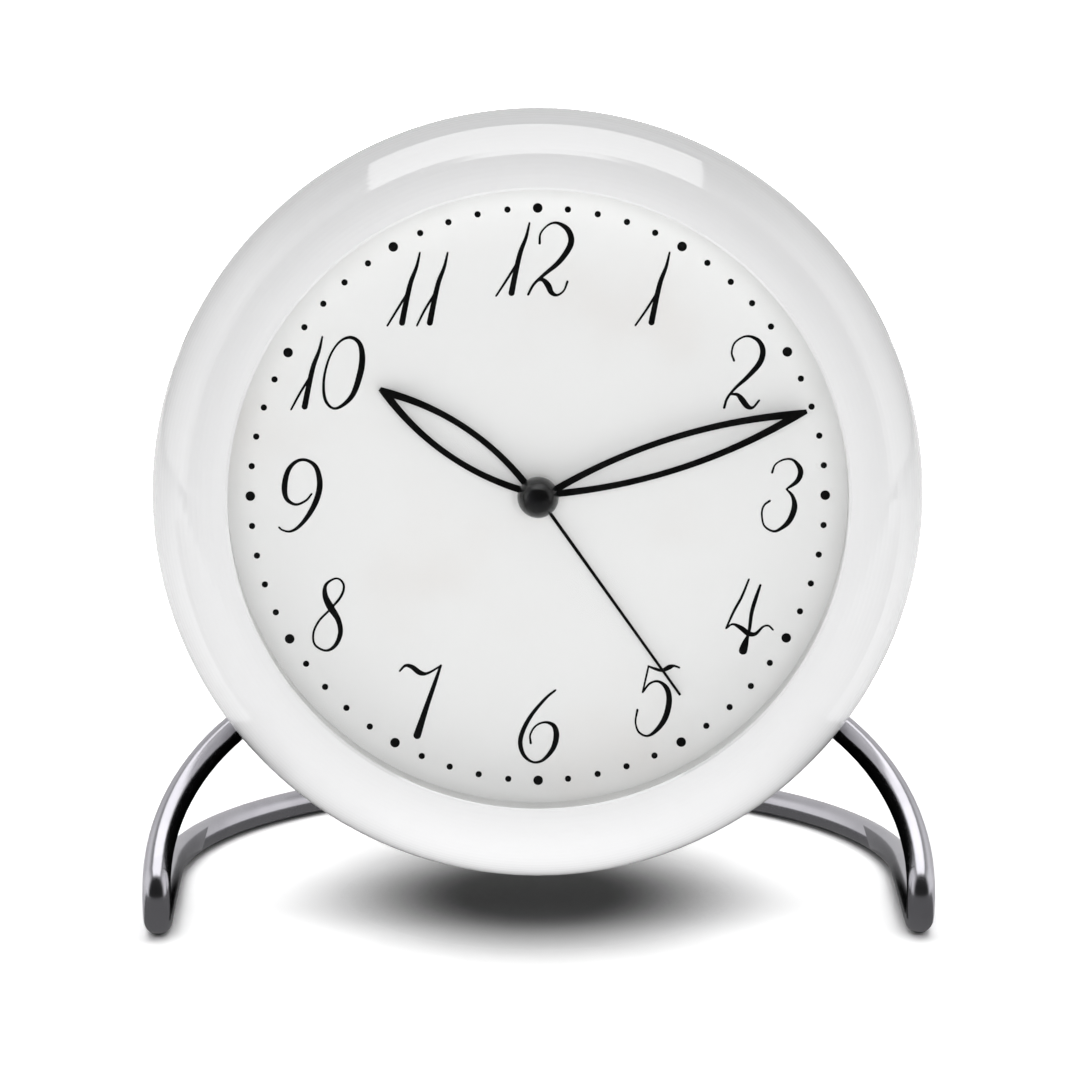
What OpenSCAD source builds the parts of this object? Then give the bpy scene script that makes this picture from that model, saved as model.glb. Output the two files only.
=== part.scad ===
// Round table alarm clock on a bent rod stand.
// The case, dial and movement are drawn in the clock's own frame: X to the right, Y up the dial and
// Z forward out of the dial, from the centre of the case's widest ring. in_case() puts that frame
// on the stand. The stand is drawn standing on the floor, with the front of the clock towards -Y.

/* [Case] */
// Largest diameter of the case
case_d = 110; // [104:1:116]
// Height of the case's centre above the floor
case_h = 60.5; // [59:0.5:64]
// Backward lean of the case in degrees
case_tilt = 5.5; // [4.5:0.25:6.5]
// Depth of the front ring in front of its widest place
bezel_front = 11; // [10.5:0.25:12]
// Depth of the front ring behind its widest place
bezel_back = 4.6; // [4:0.1:5]
// Wall of the front ring
bezel_wall = 2; // [1.6:0.1:2.4]
// Diameter of the opening over the dial
opening_d = 87.6; // [84:0.2:88.4]
// Thickness of the lip that holds the crystal in front
lip_t = 0.7; // [0.5:0.05:0.9]
// Width of the crystal's rim behind the lip
rim_w = 1.4; // [1.2:0.05:1.6]
// Diameter of the rear housing where it leaves the front ring
drum_d = 93; // [92.2:0.1:93.6]
// Depth of the rear housing behind the widest place
drum_depth = 27; // [26:0.25:30]
// Loss of radius of the rear housing over its depth
drum_draft = 1; // [0.5:0.1:1.5]
// Rounding of the rear housing's back edge
drum_round = 5; // [3:0.5:5.5]
// Wall of the rear housing
drum_wall = 2; // [1.6:0.1:2.4]
// Diameter of the rear cover
cover_d = 76.6; // [76:0.1:77]
// Thickness of the rear cover
cover_t = 2; // [1.6:0.1:2.2]

/* [Crystal and dial] */
// Thickness of the mineral crystal
crystal_t = 1.6; // [1.4:0.05:1.8]
// Thickness of the crystal's gasket
gasket_t = 0.3; // [0.25:0.05:0.4]
// Space for the hands between dial and crystal
hand_space = 6.2; // [6:0.05:6.6]
// Thickness of the dial plate
dial_t = 0.8; // [0.6:0.05:1]
// Wall of the spacer ring between dial and crystal
spacer_wall = 1.1; // [0.8:0.05:1.2]

/* [Hands] */
// Length of the hour hand from its axis
hour_len = 27.2; // [24:0.2:29]
// Length of the minute hand from its axis
minute_len = 40; // [37:0.2:41]
// Length of the alarm hand from its axis
alarm_len = 35; // [32:0.2:37]
// Greatest width of the hour hand
hour_w = 5.4; // [4.8:0.1:5.8]
// Greatest width of the minute hand
minute_w = 5.3; // [4.8:0.1:5.8]
// Width of each bowed arm of the open hands
arm_w = 0.86; // [0.7:0.02:1]
// Width of the alarm hand at its hub
alarm_w = 0.5; // [0.4:0.02:0.6]
// Thickness of the hour and minute hands
hand_t = 0.35; // [0.3:0.01:0.4]
// Thickness of the alarm hand
alarm_t = 0.25; // [0.2:0.01:0.3]
// Diameter of the round cap over the hands' hubs
cap_d = 5.9; // [5.6:0.1:6]
// Clockwise angle of the hour hand from twelve
hour_at = 304.5; // [0:0.5:359.5]
// Clockwise angle of the minute hand from twelve
minute_at = 72.3; // [0:0.1:359.9]
// Clockwise angle of the alarm hand from twelve
alarm_at = 144.6; // [0:0.1:359.9]

/* [Stand] */
// Diameter of the stand's rod
rod_d = 4; // [3.8:0.05:4.1]
// Centre-line radius of the hoop on the floor
hoop_r = 54; // [53:0.25:56]
// Distance of the hoop's centre behind the case's widest place
hoop_back = 12; // [8:0.5:16]
// Reach of the feet's centre line in front of the case's widest place
foot_front = 19.5; // [18.5:0.25:20]
// Centre-line radius of the bend at each foot
foot_bend_r = 4; // [3.5:0.25:5]
// Slope of the arms above the floor in degrees
arm_slope = 40; // [39:0.5:42]
// Centre-line radius of the arms' inward bend
arm_bend_r = 38; // [37:0.25:39]
// Turn of the arms' inward bend in degrees
arm_turn = 56; // [54:0.5:58]
// Straight end of each arm
tail_len = 10; // [9:0.25:10.5]

/* [Movement] */
// Width of the movement's housing
move_w = 54; // [53.6:0.1:55]
// Height of the movement's housing above the hands' axis
move_top = 26.2; // [26:0.05:26.6]
// Height of the movement's housing below the hands' axis
move_low = 30; // [29:0.25:31]
// Depth of the movement's housing
move_depth = 22.4; // [22.2:0.1:23]
// Wall of the movement's housing
move_wall = 1; // [0.8:0.05:1.1]
// Cut of the movement's lower corners
move_chamfer = 12; // [11:0.5:13]
// Distance from the hands' axis to the motion wheel's axis
motion_dist = 9.6; // [9.4:0.05:9.8]
// Thickness of the plates inside the movement
plate_t = 1; // [0.8:0.05:1.1]
// Thickness of the thin train wheels
train_t = 0.4; // [0.3:0.02:0.45]
// Thickness of the wheels behind the dial
motion_t = 0.7; // [0.6:0.02:0.75]
// Diameter of the cell
cell_d = 14.5; // [14:0.1:14.6]
// Length of the cell with its nub
cell_l = 50.5; // [49.5:0.1:50.6]

/* [Controls] */
// Diameter of the setting knobs
knob_d = 13; // [11:0.25:14]
// Height of the setting knobs
knob_h = 5.5; // [4:0.25:7]
// Diameter of the setting shafts
shaft_d = 2; // [1.8:0.05:2.2]
// Length of the snooze button along the case
snooze_l = 22; // [18:0.5:26]
// Width of the snooze button
snooze_w = 8; // [7:0.25:9]
// Height of the snooze button above the case
snooze_h = 1.2; // [0.9:0.05:1.6]
// Travel of the snooze button
snooze_travel = 0.8; // [0.5:0.05:0.85]
// Travel of the alarm slide
slide_travel = 3; // [2.5:0.1:3.5]

/* [Hidden] */
$fn = 96;
cut = 0.5; // overrun of every cut
snug = 0.1; // gap round pieces that are pressed or screwed together
run = 0.04; // radial running clearance of shafts

case_r = case_d / 2;
rod_r = rod_d / 2;
opening_r = opening_d / 2;
drum_r = drum_d / 2;
seat_r = opening_r + rim_w; // crystal, spacer and dial share this radius
crystal_front = bezel_front - lip_t - gasket_t;
crystal_back = crystal_front - crystal_t;
dial_front = crystal_back - hand_space;
dial_back = dial_front - dial_t;
spigot_r = drum_r; // the rear housing's front end, inside the front ring
rib_wall = 1.5; // rib of the front ring round the crystal and the dial
rib_r = seat_r + snug + rib_wall;

// Quarter of an ellipse as outline points, from its end on the radius to its end on the axis
function quarter(r0, z0, a, b, from, to, steps = 22, first = 0) =
    [for (i = [first:steps]) let (t = from + (to - from) * i / steps) [r0 + a * cos(t), z0 + b * sin(t)]];

module in_case() {
    translate([0, 0, case_h]) rotate([90 - case_tilt, 0, 0]) children();
}

module from_floor() { // the floor's frame seen from inside in_case()
    rotate([case_tilt - 90, 0, 0]) translate([0, 0, -case_h]) children();
}

knuckle_share = 1.005; // radius of a knuckle to that of the rod

// A bent rod is a chain of straight runs and bends, each carrying what follows it at its end.
// A chain heads along Z and bends towards X.
module straight(l, show = true) {
    if (show) cylinder(h = l, r = rod_r);
    translate([0, 0, l]) children();
}

module bend(r, a, show = true, knuckle = true) { // a knuckle can close the chain at its end
    if (show) translate([r, 0, 0]) rotate([-90, 0, 0]) rotate([0, 0, 180])
        rotate_extrude(angle = a) translate([r, 0]) circle(r = rod_r);
    translate([r, 0, 0]) rotate([0, a, 0]) translate([-r, 0, 0]) {
        if (show && knuckle) sphere(r = rod_r * knuckle_share);
        children();
    }
}

leg_len = hoop_back + foot_front - foot_bend_r;
stand_back = hoop_back + hoop_r + rod_r;
stand_front = foot_front + rod_r;
mid_y = (stand_back - stand_front) / 2; // moves the origin under the middle of the stand

// Half of the stand on one side, from the middle of the hoop to the straight end in the case
module half_rod(side, show = true) {
    translate([0, hoop_back + hoop_r, rod_r]) rotate([0, 90 - 90 * side, 0])
        rotate([-90, 0, 0]) rotate([0, 90, 0]) bend(hoop_r, 90, show, false) straight(leg_len, show)
        rotate([0, 0, -90 * side]) bend(foot_bend_r, 180 - arm_slope, show) rotate([0, 0, 90 * side])
        bend(arm_bend_r, arm_turn, show) children();
}

module both_ends() { // children at the start of both straight ends, in the floor's frame
    for (flip = [0, 1]) mirror([flip, 0, 0]) half_rod(1, false) children();
}

module stand_rod() {
    color("silver") translate([0, -mid_y, 0])
        for (side = [-1, 1]) half_rod(side) straight(tail_len);
}

// Case

module on_clock(c) { // a piece of the clock in its place on the stand
    color(c) translate([0, -mid_y, 0]) in_case() children();
}

lip_round = lip_t / 2;
shell_r = spigot_r + 2 * snug; // back opening of the front ring
nose_r = opening_r + lip_t;

module bezel_ring() {
    a = case_r - nose_r;
    back_a = case_r - shell_r;
    on_clock("white") rotate_extrude($fn = 180) polygon(concat(
        [[seat_r + snug, bezel_front - lip_t], [opening_r, bezel_front - lip_t],
         [opening_r, bezel_front - lip_round], [opening_r + lip_round, bezel_front]],
        quarter(nose_r, 0, a, bezel_front, 90, 0),
        quarter(shell_r, 0, back_a, -bezel_back, 0, 90, 12, 1),
        quarter(shell_r, 0, back_a - bezel_wall, -(bezel_back - bezel_wall), 90, 0, 12),
        quarter(nose_r, 0, a - bezel_wall, bezel_front - bezel_wall, 0,
            acos((rib_r - nose_r) / (a - bezel_wall)), first = 1),
        [[rib_r, dial_back], [seat_r + snug, dial_back]]));
}

module crystal() {
    on_clock("lightcyan") translate([0, 0, crystal_back])
        cylinder(h = crystal_t, r = seat_r, $fn = 180);
}

module flat_ring(r_in, r_out, z0, z1) {
    rotate_extrude($fn = 180) polygon([[r_in, z0], [r_out, z0], [r_out, z1], [r_in, z1]]);
}

module crystal_gasket() {
    on_clock("dimgray") flat_ring(opening_r + lip_round, seat_r, crystal_front,
        crystal_front + gasket_t);
}

module spacer_ring() {
    on_clock("white") flat_ring(seat_r - spacer_wall, seat_r, dial_front, crystal_back);
}

hole_r = 2.6; // hole of the dial plate for the hands' tubes
module dial_plate() {
    on_clock("whitesmoke") flat_ring(hole_r, seat_r, dial_back, dial_front);
}

drum_back_r = drum_r - drum_draft;
cover_r = cover_d / 2;
ledge_w = 1.8;
ledge_t = 1.6;
bead_h = 0.6; // snap bead of the rear housing inside the front ring
shoulder = 0.6; // clearance of the bead behind the front ring's back edge
screw_r = 1.45;
post_r = 3;
cover_screw_in = 3.4; // from the cover's rim in to its screws
cover_screw_r = cover_r - cover_screw_in;
screw_count = 3;
socket_gap = 0.12;
socket_wall = 1.8;
grub_back = 4; // how far the grub screws' towers stand behind the rod

module drum_shell() {
    cover_in = -drum_depth + cover_t;
    round_r = drum_back_r - drum_round;
    z_bead = -(bezel_back - bezel_wall) + shoulder;
    rotate_extrude($fn = 180) polygon(concat(
        [[seat_r - spacer_wall - ledge_w, dial_back], [spigot_r, dial_back],
         [spigot_r, z_bead + bead_h], [spigot_r + bead_h, z_bead], [spigot_r, z_bead - bead_h / 2]],
        [for (i = [0:10]) let (t = 90 * i / 10)
            [round_r + drum_round * cos(t), -drum_depth + drum_round - drum_round * sin(t)]],
        [[cover_r + snug, -drum_depth], [cover_r + snug, cover_in],
         [cover_r - ledge_w, cover_in], [cover_r - ledge_w, cover_in + ledge_t],
         [round_r, cover_in + ledge_t], [drum_back_r - drum_wall, cover_in + ledge_t + drum_wall],
         [spigot_r - drum_wall, dial_back - drum_wall],
         [seat_r - spacer_wall - ledge_w, dial_back - drum_wall]]));
}

module rear_housing() {
    cover_in = -drum_depth + cover_t;
    on_clock("white") difference() {
        union() {
            drum_shell();
            intersection() {
                cylinder(h = 2 * drum_depth, r = drum_r - drum_wall / 2, center = true);
                union() {
                    from_floor() both_ends() translate([0, 0, -rod_r]) {
                        cylinder(h = tail_len + rod_r + socket_wall, r = rod_r + socket_wall);
                    }
                    from_floor() both_ends() translate([0, 0, tail_len / 2])
                        in_case_turn() translate([0, 0, -rod_r - grub_back])
                        cylinder(h = rod_r + grub_back, r = post_r);
                }
            }
            cover_screw_places() translate([0, 0, cover_in]) {
                cylinder(h = 3 * ledge_t, r = post_r);
                translate([0, -post_r / 2, 0])
                    cube([drum_back_r - drum_wall / 2 - cover_screw_r, post_r, 2 * ledge_t]);
            }
            snooze_rails();
        }
        from_floor() both_ends() translate([0, 0, -tail_len / 2])
            cylinder(h = tail_len * 1.5, r = rod_r + socket_gap);
        from_floor() both_ends() translate([0, 0, tail_len / 2])
            in_case_turn() translate([0, 0, -drum_depth]) cylinder(h = drum_depth, r = screw_r + run);
        cover_screw_places() translate([0, 0, cover_in - cut])
            cylinder(h = 2 * ledge_t + cut, r = screw_r + run);
        snooze_slot(snug);
    }
}

// Turns the frame at a straight end so that Z is the clock's own Z again, pointing forward
module in_case_turn() {
    rotate([0, -arm_turn, 0]) rotate([0, 0, -90]) rotate([0, arm_slope - 180, 0]) rotate([0, 0, 90])
        rotate([0, -90, 0]) rotate([0, -90, 0]) rotate([90, 0, 0])
        rotate([90 - case_tilt, 0, 0]) children();
}

door_end = 1.25; // of the battery door past each end of the cell
door_side = 0.25; // and past each side of it
door_l = cell_l + 2 * door_end;
door_w = cell_d + 2 * door_side;
cell_y = move_top - move_wall - cell_d / 2 - snug;
door_low = cell_y - door_w / 2;
set_x = 2 * motion_dist; // both setting shafts stand this far from the hands' axis
speaker_y = -24;
speaker_r = 8;
sound_r = 0.9;
slide_y = -10;
slide_l = 4.4; // thumb piece of the alarm slide
slide_w = 2.6;
cover_z = -drum_depth;
cover_in_z = cover_z + cover_t;
screw_head_r = 2.3;
screw_head_t = 1.1;
screw_len = 4.6;
hinge_r = 0.8;
pin_r = 0.5;
pin_len = 1.2;
door_gap = 0.2;
groove_step = 1.4;
lug_w = 5;

module cover_screw_places() {
    for (i = [0:screw_count - 1]) rotate([0, 0, 90 + 360 * i / screw_count])
        translate([cover_screw_r, 0, 0]) children();
}

module sound_holes() {
    for (i = [0:6]) translate([i == 0 ? 0 : 4 * sound_r * cos(60 * i),
        speaker_y + (i == 0 ? 0 : 4 * sound_r * sin(60 * i))]) children();
}

door_open_low = door_low - hinge_r - snug;
post_places = [[move_w / 2 - post_r, door_low / 2], [move_w / 2 - post_r, -move_low / 3],
    [move_w / 4, -move_low + post_r]];

module rear_cover() {
    on_clock("white") difference() {
        union() {
            translate([0, 0, cover_z]) cylinder(h = cover_t, r = cover_r);
            // posts that hold the movement against the dial
            for (side = [-1, 1]) for (p = post_places)
                translate([side * p[0], p[1], cover_in_z - cut])
                    cylinder(h = move_back_z - cover_in_z + cut, r = post_r / 2);
            // ring round the buzzer
            translate([0, speaker_y, cover_in_z - cut]) difference() {
                cylinder(h = cut + cover_t / 2, r = speaker_r + snug + cover_t / 2);
                translate([0, 0, -cut]) cylinder(h = 3 * cut + cover_t, r = speaker_r + snug);
            }
        }
        translate([-door_l / 2 - door_gap, door_open_low, cover_z - cut])
            cube([door_l + 2 * door_gap, door_low + door_w + door_gap - door_open_low,
                cover_t + 2 * cut]);
        translate([0, door_low, cover_z + hinge_r]) rotate([0, 90, 0])
            cylinder(h = door_l + 2 * pin_len + 4 * snug, r = pin_r + run, center = true);
        cover_screw_places() {
            translate([0, 0, cover_z - cut]) cylinder(h = cover_t + 2 * cut, r = screw_r + snug);
            translate([0, 0, cover_z - cut])
                cylinder(h = screw_head_t + cut, r = screw_head_r + snug);
        }
        for (x = [-set_x, set_x]) translate([x, 0, cover_z - cut])
            cylinder(h = cover_t + 2 * cut, r = shaft_d / 2 + 4 * snug);
        translate([-slide_travel / 2 - slide_l / 2 - snug, slide_y - slide_w / 2 - snug,
            cover_z - cut])
            cube([slide_travel + slide_l + 2 * snug, slide_w + 2 * snug, cover_t + 2 * cut]);
        sound_holes() translate([0, 0, cover_z - cut])
            cylinder(h = cover_t + 2 * cut, r = sound_r);
    }
}

slot_share = 1.2; // length of a screw's cross slot to the radius of its head
module screw(head_r, head_t, r, len) { // head at the back, shank forward, with a cross slot
    difference() {
        union() {
            cylinder(h = head_t, r = head_r);
            cylinder(h = len, r = r);
        }
        for (a = [0, 90]) rotate([0, 0, a])
            cube([head_r * slot_share, head_r / 4, head_t], center = true);
    }
}

module cover_screws() {
    on_clock("silver") cover_screw_places() translate([0, 0, cover_z + snug])
        screw(screw_head_r, screw_head_t - snug, screw_r, screw_len);
}

module stand_grub_screws() {
    tip_r = screw_r / 4;
    on_clock("dimgray") from_floor() both_ends() translate([0, 0, tail_len / 2]) in_case_turn()
        translate([0, 0, -rod_r - grub_back]) difference() {
            union() {
                cylinder(h = grub_back - screw_r, r = screw_r);
                translate([0, 0, grub_back - screw_r])
                    cylinder(h = screw_r - tip_r, r1 = screw_r, r2 = tip_r);
            }
            translate([0, 0, -cut]) cylinder(h = grub_back / 2 + cut, r = screw_r / 2, $fn = 6);
        }
}

module battery_door() {
    top = door_low + door_w;
    on_clock("white") difference() {
        union() {
            translate([-door_l / 2, door_low, cover_z]) cube([door_l, door_w, cover_t]);
            translate([0, door_low, cover_z + hinge_r]) rotate([0, 90, 0]) {
                cylinder(h = door_l, r = hinge_r, center = true);
                cylinder(h = door_l + 2 * pin_len, r = pin_r, center = true);
            }
            // spring tongue of the latch
            translate([-lug_w, top - cover_t, cover_in_z - cut])
                cube([2 * lug_w, cover_t / 2, cover_t + cut]);
        }
        // grooves for a finger
        for (i = [0:4]) translate([-lug_w, top - cover_t - i * groove_step, cover_z])
            rotate([0, 90, 0]) cylinder(h = 2 * lug_w, r = cover_t / 6);
    }
}

// Hands

alarm_gap = 0.8; // from the dial to the alarm hand
hand_gap = 0.45; // from each hand to the next
alarm_z = dial_front + alarm_gap;
hour_z = alarm_z + alarm_t + hand_gap;
minute_z = hour_z + hand_t + hand_gap;
arbor_r = 0.75;
tube_wall = 0.5;
hour_in = arbor_r + run;
hour_out = hour_in + tube_wall;
alarm_in = hour_out + run;
alarm_out = alarm_in + tube_wall;
nose_in = alarm_out + run;
nose_out = nose_in + tube_wall;
cap_over = 0.5; // of the cap round the hands' hubs
hub_r = cap_d / 2 - cap_over;

module lens(from, to, w) { // pointed leaf outline along Y between two arcs
    c = to - from;
    r = (c * c / 4 + w * w / 4) / w;
    translate([0, (from + to) / 2]) intersection() {
        translate([r - w / 2, 0]) circle(r = r, $fn = 360);
        translate([w / 2 - r, 0]) circle(r = r, $fn = 360);
    }
}

leaf_shares = [-0.02, 1.03]; // ends of an open hand's outline, of its length
slit_shares = [0.09, 0.91]; // ends of the opening between its arms
module open_hand(len, w, bore) { // two bowed arms that meet in a solid point and round the hub
    difference() {
        intersection() {
            union() {
                lens(leaf_shares[0] * len, leaf_shares[1] * len, w);
                circle(r = hub_r);
            }
            translate([-w, -w]) square([2 * w, len + w]);
        }
        lens(slit_shares[0] * len, slit_shares[1] * len, w - 2 * arm_w);
        circle(r = bore);
    }
}

module hour_hand() {
    on_clock("black") translate([0, 0, hour_z]) rotate([0, 0, -hour_at])
        linear_extrude(hand_t) open_hand(hour_len, hour_w, hour_out);
}

module minute_hand() {
    on_clock("black") translate([0, 0, minute_z]) rotate([0, 0, -minute_at])
        linear_extrude(hand_t) open_hand(minute_len, minute_w, arbor_r);
}

tip_share = 0.36; // half width of the thin hand's tip to its width at the hub
module alarm_hand() {
    on_clock("black") translate([0, 0, alarm_z]) rotate([0, 0, -alarm_at]) difference() {
        union() {
            cylinder(h = alarm_t, r = hub_r);
            linear_extrude(alarm_t) polygon([[-alarm_w / 2, 0], [-alarm_w * tip_share, alarm_len],
                [alarm_w * tip_share, alarm_len], [alarm_w / 2, 0]]);
        }
        translate([0, 0, -cut]) cylinder(h = alarm_t + 2 * cut, r = alarm_out);
    }
}

module hand_cap() { // a dome on the minute hand, with a blind bore for the arbor's end
    on_clock("black") translate([0, 0, minute_z + hand_t]) difference() {
        sphere(r = cap_d / 2, $fn = 128);
        translate([-cap_d, -cap_d, -cap_d]) cube([2 * cap_d, 2 * cap_d, cap_d]);
        translate([0, 0, -cut]) cylinder(h = cap_d / 4 + cut + run, r = arbor_r);
    }
}

// Gears

// Outline of a gear of n teeth: each tooth has straight sides from the root to the tip
tooth_share = [[-0.35, -1.2], [-0.1, 0.8], [0.1, 0.8], [0.35, -1.2]];
function gear(n, m) = [for (i = [0:n - 1]) for (q = tooth_share)
    polar(n * m / 2 + q[1] * m, 360 / n * (i + q[0]))];

// Turn of a gear of n2 teeth that puts it in mesh with one of n1 teeth turned by t1, when the
// second stands in direction d from the first
function mesh(d, t1, n1, n2) = d + 180 + ((d - t1) * n1 - 180) / n2;

function polar(r, a) = r * [cos(a), sin(a)];

cannon_n = 12;
motion_n = 36;
motion_pinion_n = 10;
hour_n = 40;
time_n = 12;
alarm_n = 64;
alarm_pinion_n = 16;
motion_m = 2 * motion_dist / (cannon_n + motion_n);
hour_m = 2 * motion_dist / (motion_pinion_n + hour_n);
alarm_m = 2 * set_x / (alarm_n + alarm_pinion_n);
motion_turn = mesh(180, 0, cannon_n, motion_n);
hour_turn = mesh(0, 0, motion_pinion_n, hour_n);
time_turn = mesh(180, motion_turn, motion_n, time_n);
alarm_pinion_turn = mesh(0, 0, alarm_n, alarm_pinion_n);

// Levels, each the front face of its wheel
level_gap = 0.4;
wall_back = dial_back - move_wall;
alarm_wheel_z = wall_back - level_gap;
hour_wheel_z = alarm_wheel_z - motion_t - level_gap;
motion_wheel_z = hour_wheel_z - motion_t - level_gap;
middle_z = motion_wheel_z - motion_t - level_gap;
middle_back_z = middle_z - plate_t;
stage_gap = 0.7; // from each train wheel to the next
stage = train_t + stage_gap;
pinion_over = 0.12; // of a pinion past the wheel that it meets
train_z = middle_back_z - level_gap;
centre_z = train_z - train_t;
third_z = centre_z - stage;
fourth_z = third_z - stage;
fifth_z = fourth_z - stage;
magnet_t = 1.6;
magnet_r = 2.5;
magnet_z = fifth_z - train_t - level_gap;
stator_t = 1;
stator_z = magnet_z - (magnet_t - stator_t) / 2;
bridge_z = magnet_z - magnet_t - level_gap;
move_back_z = dial_back - move_depth;
pivot_r = 0.35;
third_dist = 7.848; // from the hands' axis to the third wheel's
fifth_dist = 5.76; // from the fourth wheel's axis to the fifth wheel's
pinion_n = 8;
centre_n = 64;
third_n = 60;
fourth_n = 40;
fifth_n = 48;
third_at = -120;
fourth_at = -60;
fifth_at = -30;
rotor_at = 20;
tooth_m = 2 * third_dist / (centre_n + pinion_n);
fifth_m = 2 * fifth_dist / (fourth_n + pinion_n);
third_p = polar(third_dist, third_at);
fourth_p = third_p + polar(tooth_m * (third_n + pinion_n) / 2, fourth_at);
fifth_p = fourth_p + polar(fifth_dist, fifth_at);
rotor_p = fifth_p + polar(tooth_m * (fifth_n + pinion_n) / 2, rotor_at);
third_turn = mesh(third_at, 0, centre_n, pinion_n);
fourth_turn = mesh(fourth_at, third_turn, third_n, pinion_n);
fifth_turn = mesh(fifth_at, fourth_turn, fourth_n, pinion_n);
rotor_turn = mesh(rotor_at, fifth_turn, fifth_n, pinion_n);

module wheel(n, m, z, t, turn) { // toothed wheel with its front face at z
    translate([0, 0, z - t]) rotate([0, 0, turn]) linear_extrude(t) polygon(gear(n, m));
}

module tube(r_in, r_out, z0, z1) {
    translate([0, 0, z0]) difference() {
        cylinder(h = z1 - z0, r = r_out);
        translate([0, 0, -cut]) cylinder(h = z1 - z0 + 2 * cut, r = r_in);
    }
}

module minute_arbor() { // arbor with the cannon pinion, from the cap to the bridge
    on_clock("silver") {
        translate([0, 0, bridge_z - plate_t]) cylinder(h = centre_z - bridge_z + plate_t, r = pivot_r);
        translate([0, 0, centre_z - 2 * train_t])
            cylinder(h = minute_z + hand_t + cap_d / 4 - centre_z + 2 * train_t, r = arbor_r);
        wheel(cannon_n, motion_m, motion_wheel_z + level_gap / 2, motion_t + level_gap / 2, 0);
    }
}

module hour_wheel() {
    on_clock("gold") {
        difference() {
            wheel(hour_n, hour_m, hour_wheel_z, motion_t, hour_turn);
            translate([0, 0, hour_wheel_z - motion_t - cut])
                cylinder(h = motion_t + 2 * cut, r = (hour_in + hour_out) / 2);
        }
        tube(hour_in, hour_out, hour_wheel_z - motion_t, hour_z + hand_t);
    }
}

module alarm_wheel() {
    on_clock("gold") {
        difference() {
            wheel(alarm_n, alarm_m, alarm_wheel_z, motion_t, 0);
            translate([0, 0, alarm_wheel_z - motion_t - cut])
                cylinder(h = motion_t + 2 * cut, r = (alarm_in + alarm_out) / 2);
        }
        tube(alarm_in, alarm_out, alarm_wheel_z - motion_t, alarm_z + alarm_t);
    }
}

module motion_wheel() { // turns on a stud of the middle plate
    on_clock("gold") translate([-motion_dist, 0, 0]) difference() {
        union() {
            wheel(motion_n, motion_m, motion_wheel_z, motion_t, motion_turn);
            wheel(motion_pinion_n, hour_m, hour_wheel_z + level_gap / 2,
                hour_wheel_z + level_gap / 2 - motion_wheel_z, 0);
        }
        translate([0, 0, middle_z]) cylinder(h = wall_back - middle_z, r = arbor_r + run);
    }
}

shaft_r = shaft_d / 2;
knob_z = cover_z - level_gap;
module setting_shaft(x, n, m, z, turn) { // shaft with its pinion in front, into the knob behind
    on_clock("silver") translate([x, 0, 0]) {
        wheel(n, m, z, motion_t, turn);
        translate([0, 0, knob_z - knob_h / 2]) cylinder(h = z - knob_z + knob_h / 2, r = shaft_r);
    }
}

module time_set_shaft() {
    setting_shaft(-set_x, time_n, motion_m, motion_wheel_z, time_turn);
}

module alarm_set_shaft() {
    setting_shaft(set_x, alarm_pinion_n, alarm_m, alarm_wheel_z, alarm_pinion_turn);
}

grip_n = 24;
module setting_knob(x) {
    on_clock("white") translate([x, 0, knob_z - knob_h]) difference() {
        rotate_extrude() polygon(concat([[0, 0]],
            quarter(knob_d / 2 - knob_h / 5, knob_h / 5, knob_h / 5, -knob_h / 5, 90, 0, 6),
            [[knob_d / 2, knob_h], [0, knob_h]]));
        translate([0, 0, knob_h / 2]) cylinder(h = knob_h, r = shaft_r);
        for (i = [0:grip_n - 1]) rotate([0, 0, 360 * i / grip_n])
            translate([knob_d / 2 + knob_d / 40, 0, -cut])
            cylinder(h = knob_h + 2 * cut, r = knob_d / 20);
    }
}

module time_set_knob() {
    setting_knob(-set_x);
}

module alarm_set_knob() {
    setting_knob(set_x);
}

// Movement

cell_r = cell_d / 2;
cell_z = alarm_wheel_z - motion_t - level_gap - move_wall - snug - cell_r;
tray_y = cell_y - cell_r - snug; // inner face of the tray's lower wall
inner_w = move_w - 2 * move_wall;
coil_r = 3.3;
coil_l = 9;
core_w = 2.2; // the stator's arm in the coil
bobbin_r = 1.75; // tube of the bobbin
stator_low = -20;
stator_high = -6;
stator_r = 3.9; // half width of the stator's pole
pole_gap = 0.6; // between the stator and the magnet
coil_p = [move_w / 2 - move_wall - coil_r - core_w, (stator_low + stator_high) / 2];
pillar_r = 1.2;
stator_pillar_r = 0.95;
// Places of the bridge's pillars, of the movement's half width and of its height below the axis
pillar_shares = [[-0.48, -0.1], [-0.33, -0.7], [0.15, -0.82], [0.585, -0.107]];
pillar_places = [for (s = pillar_shares) [s[0] * move_w / 2, s[1] * move_low]];
board_gap = 0.5; // round the circuit board
board_z = stator_z - stator_t / 2 - coil_r - level_gap;
board_t = plate_t;

function housing(inset, top) = let (x = move_w / 2 - inset, y = -move_low + inset,
    c = move_chamfer - (2 - sqrt(2)) * inset)
    [[-x, top], [-x, y + c], [-x + c, y], [x - c, y], [x, y + c], [x, top]];

module housing_wall(z0, z1) {
    translate([0, 0, z0]) linear_extrude(z1 - z0) difference() {
        polygon(housing(0, move_top));
        polygon(housing(move_wall, move_top - move_wall));
    }
}

module movement_front() {
    on_clock("gainsboro") {
        housing_wall(middle_z, wall_back + cut);
        difference() {
            union() {
                translate([0, 0, wall_back]) linear_extrude(move_wall)
                    polygon(housing(0, move_top));
                translate([0, 0, wall_back]) cylinder(h = dial_front - wall_back, r = nose_out);
            }
            translate([0, 0, wall_back - cut]) cylinder(h = dial_front + cut, r = nose_in);
        }
    }
}

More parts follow.
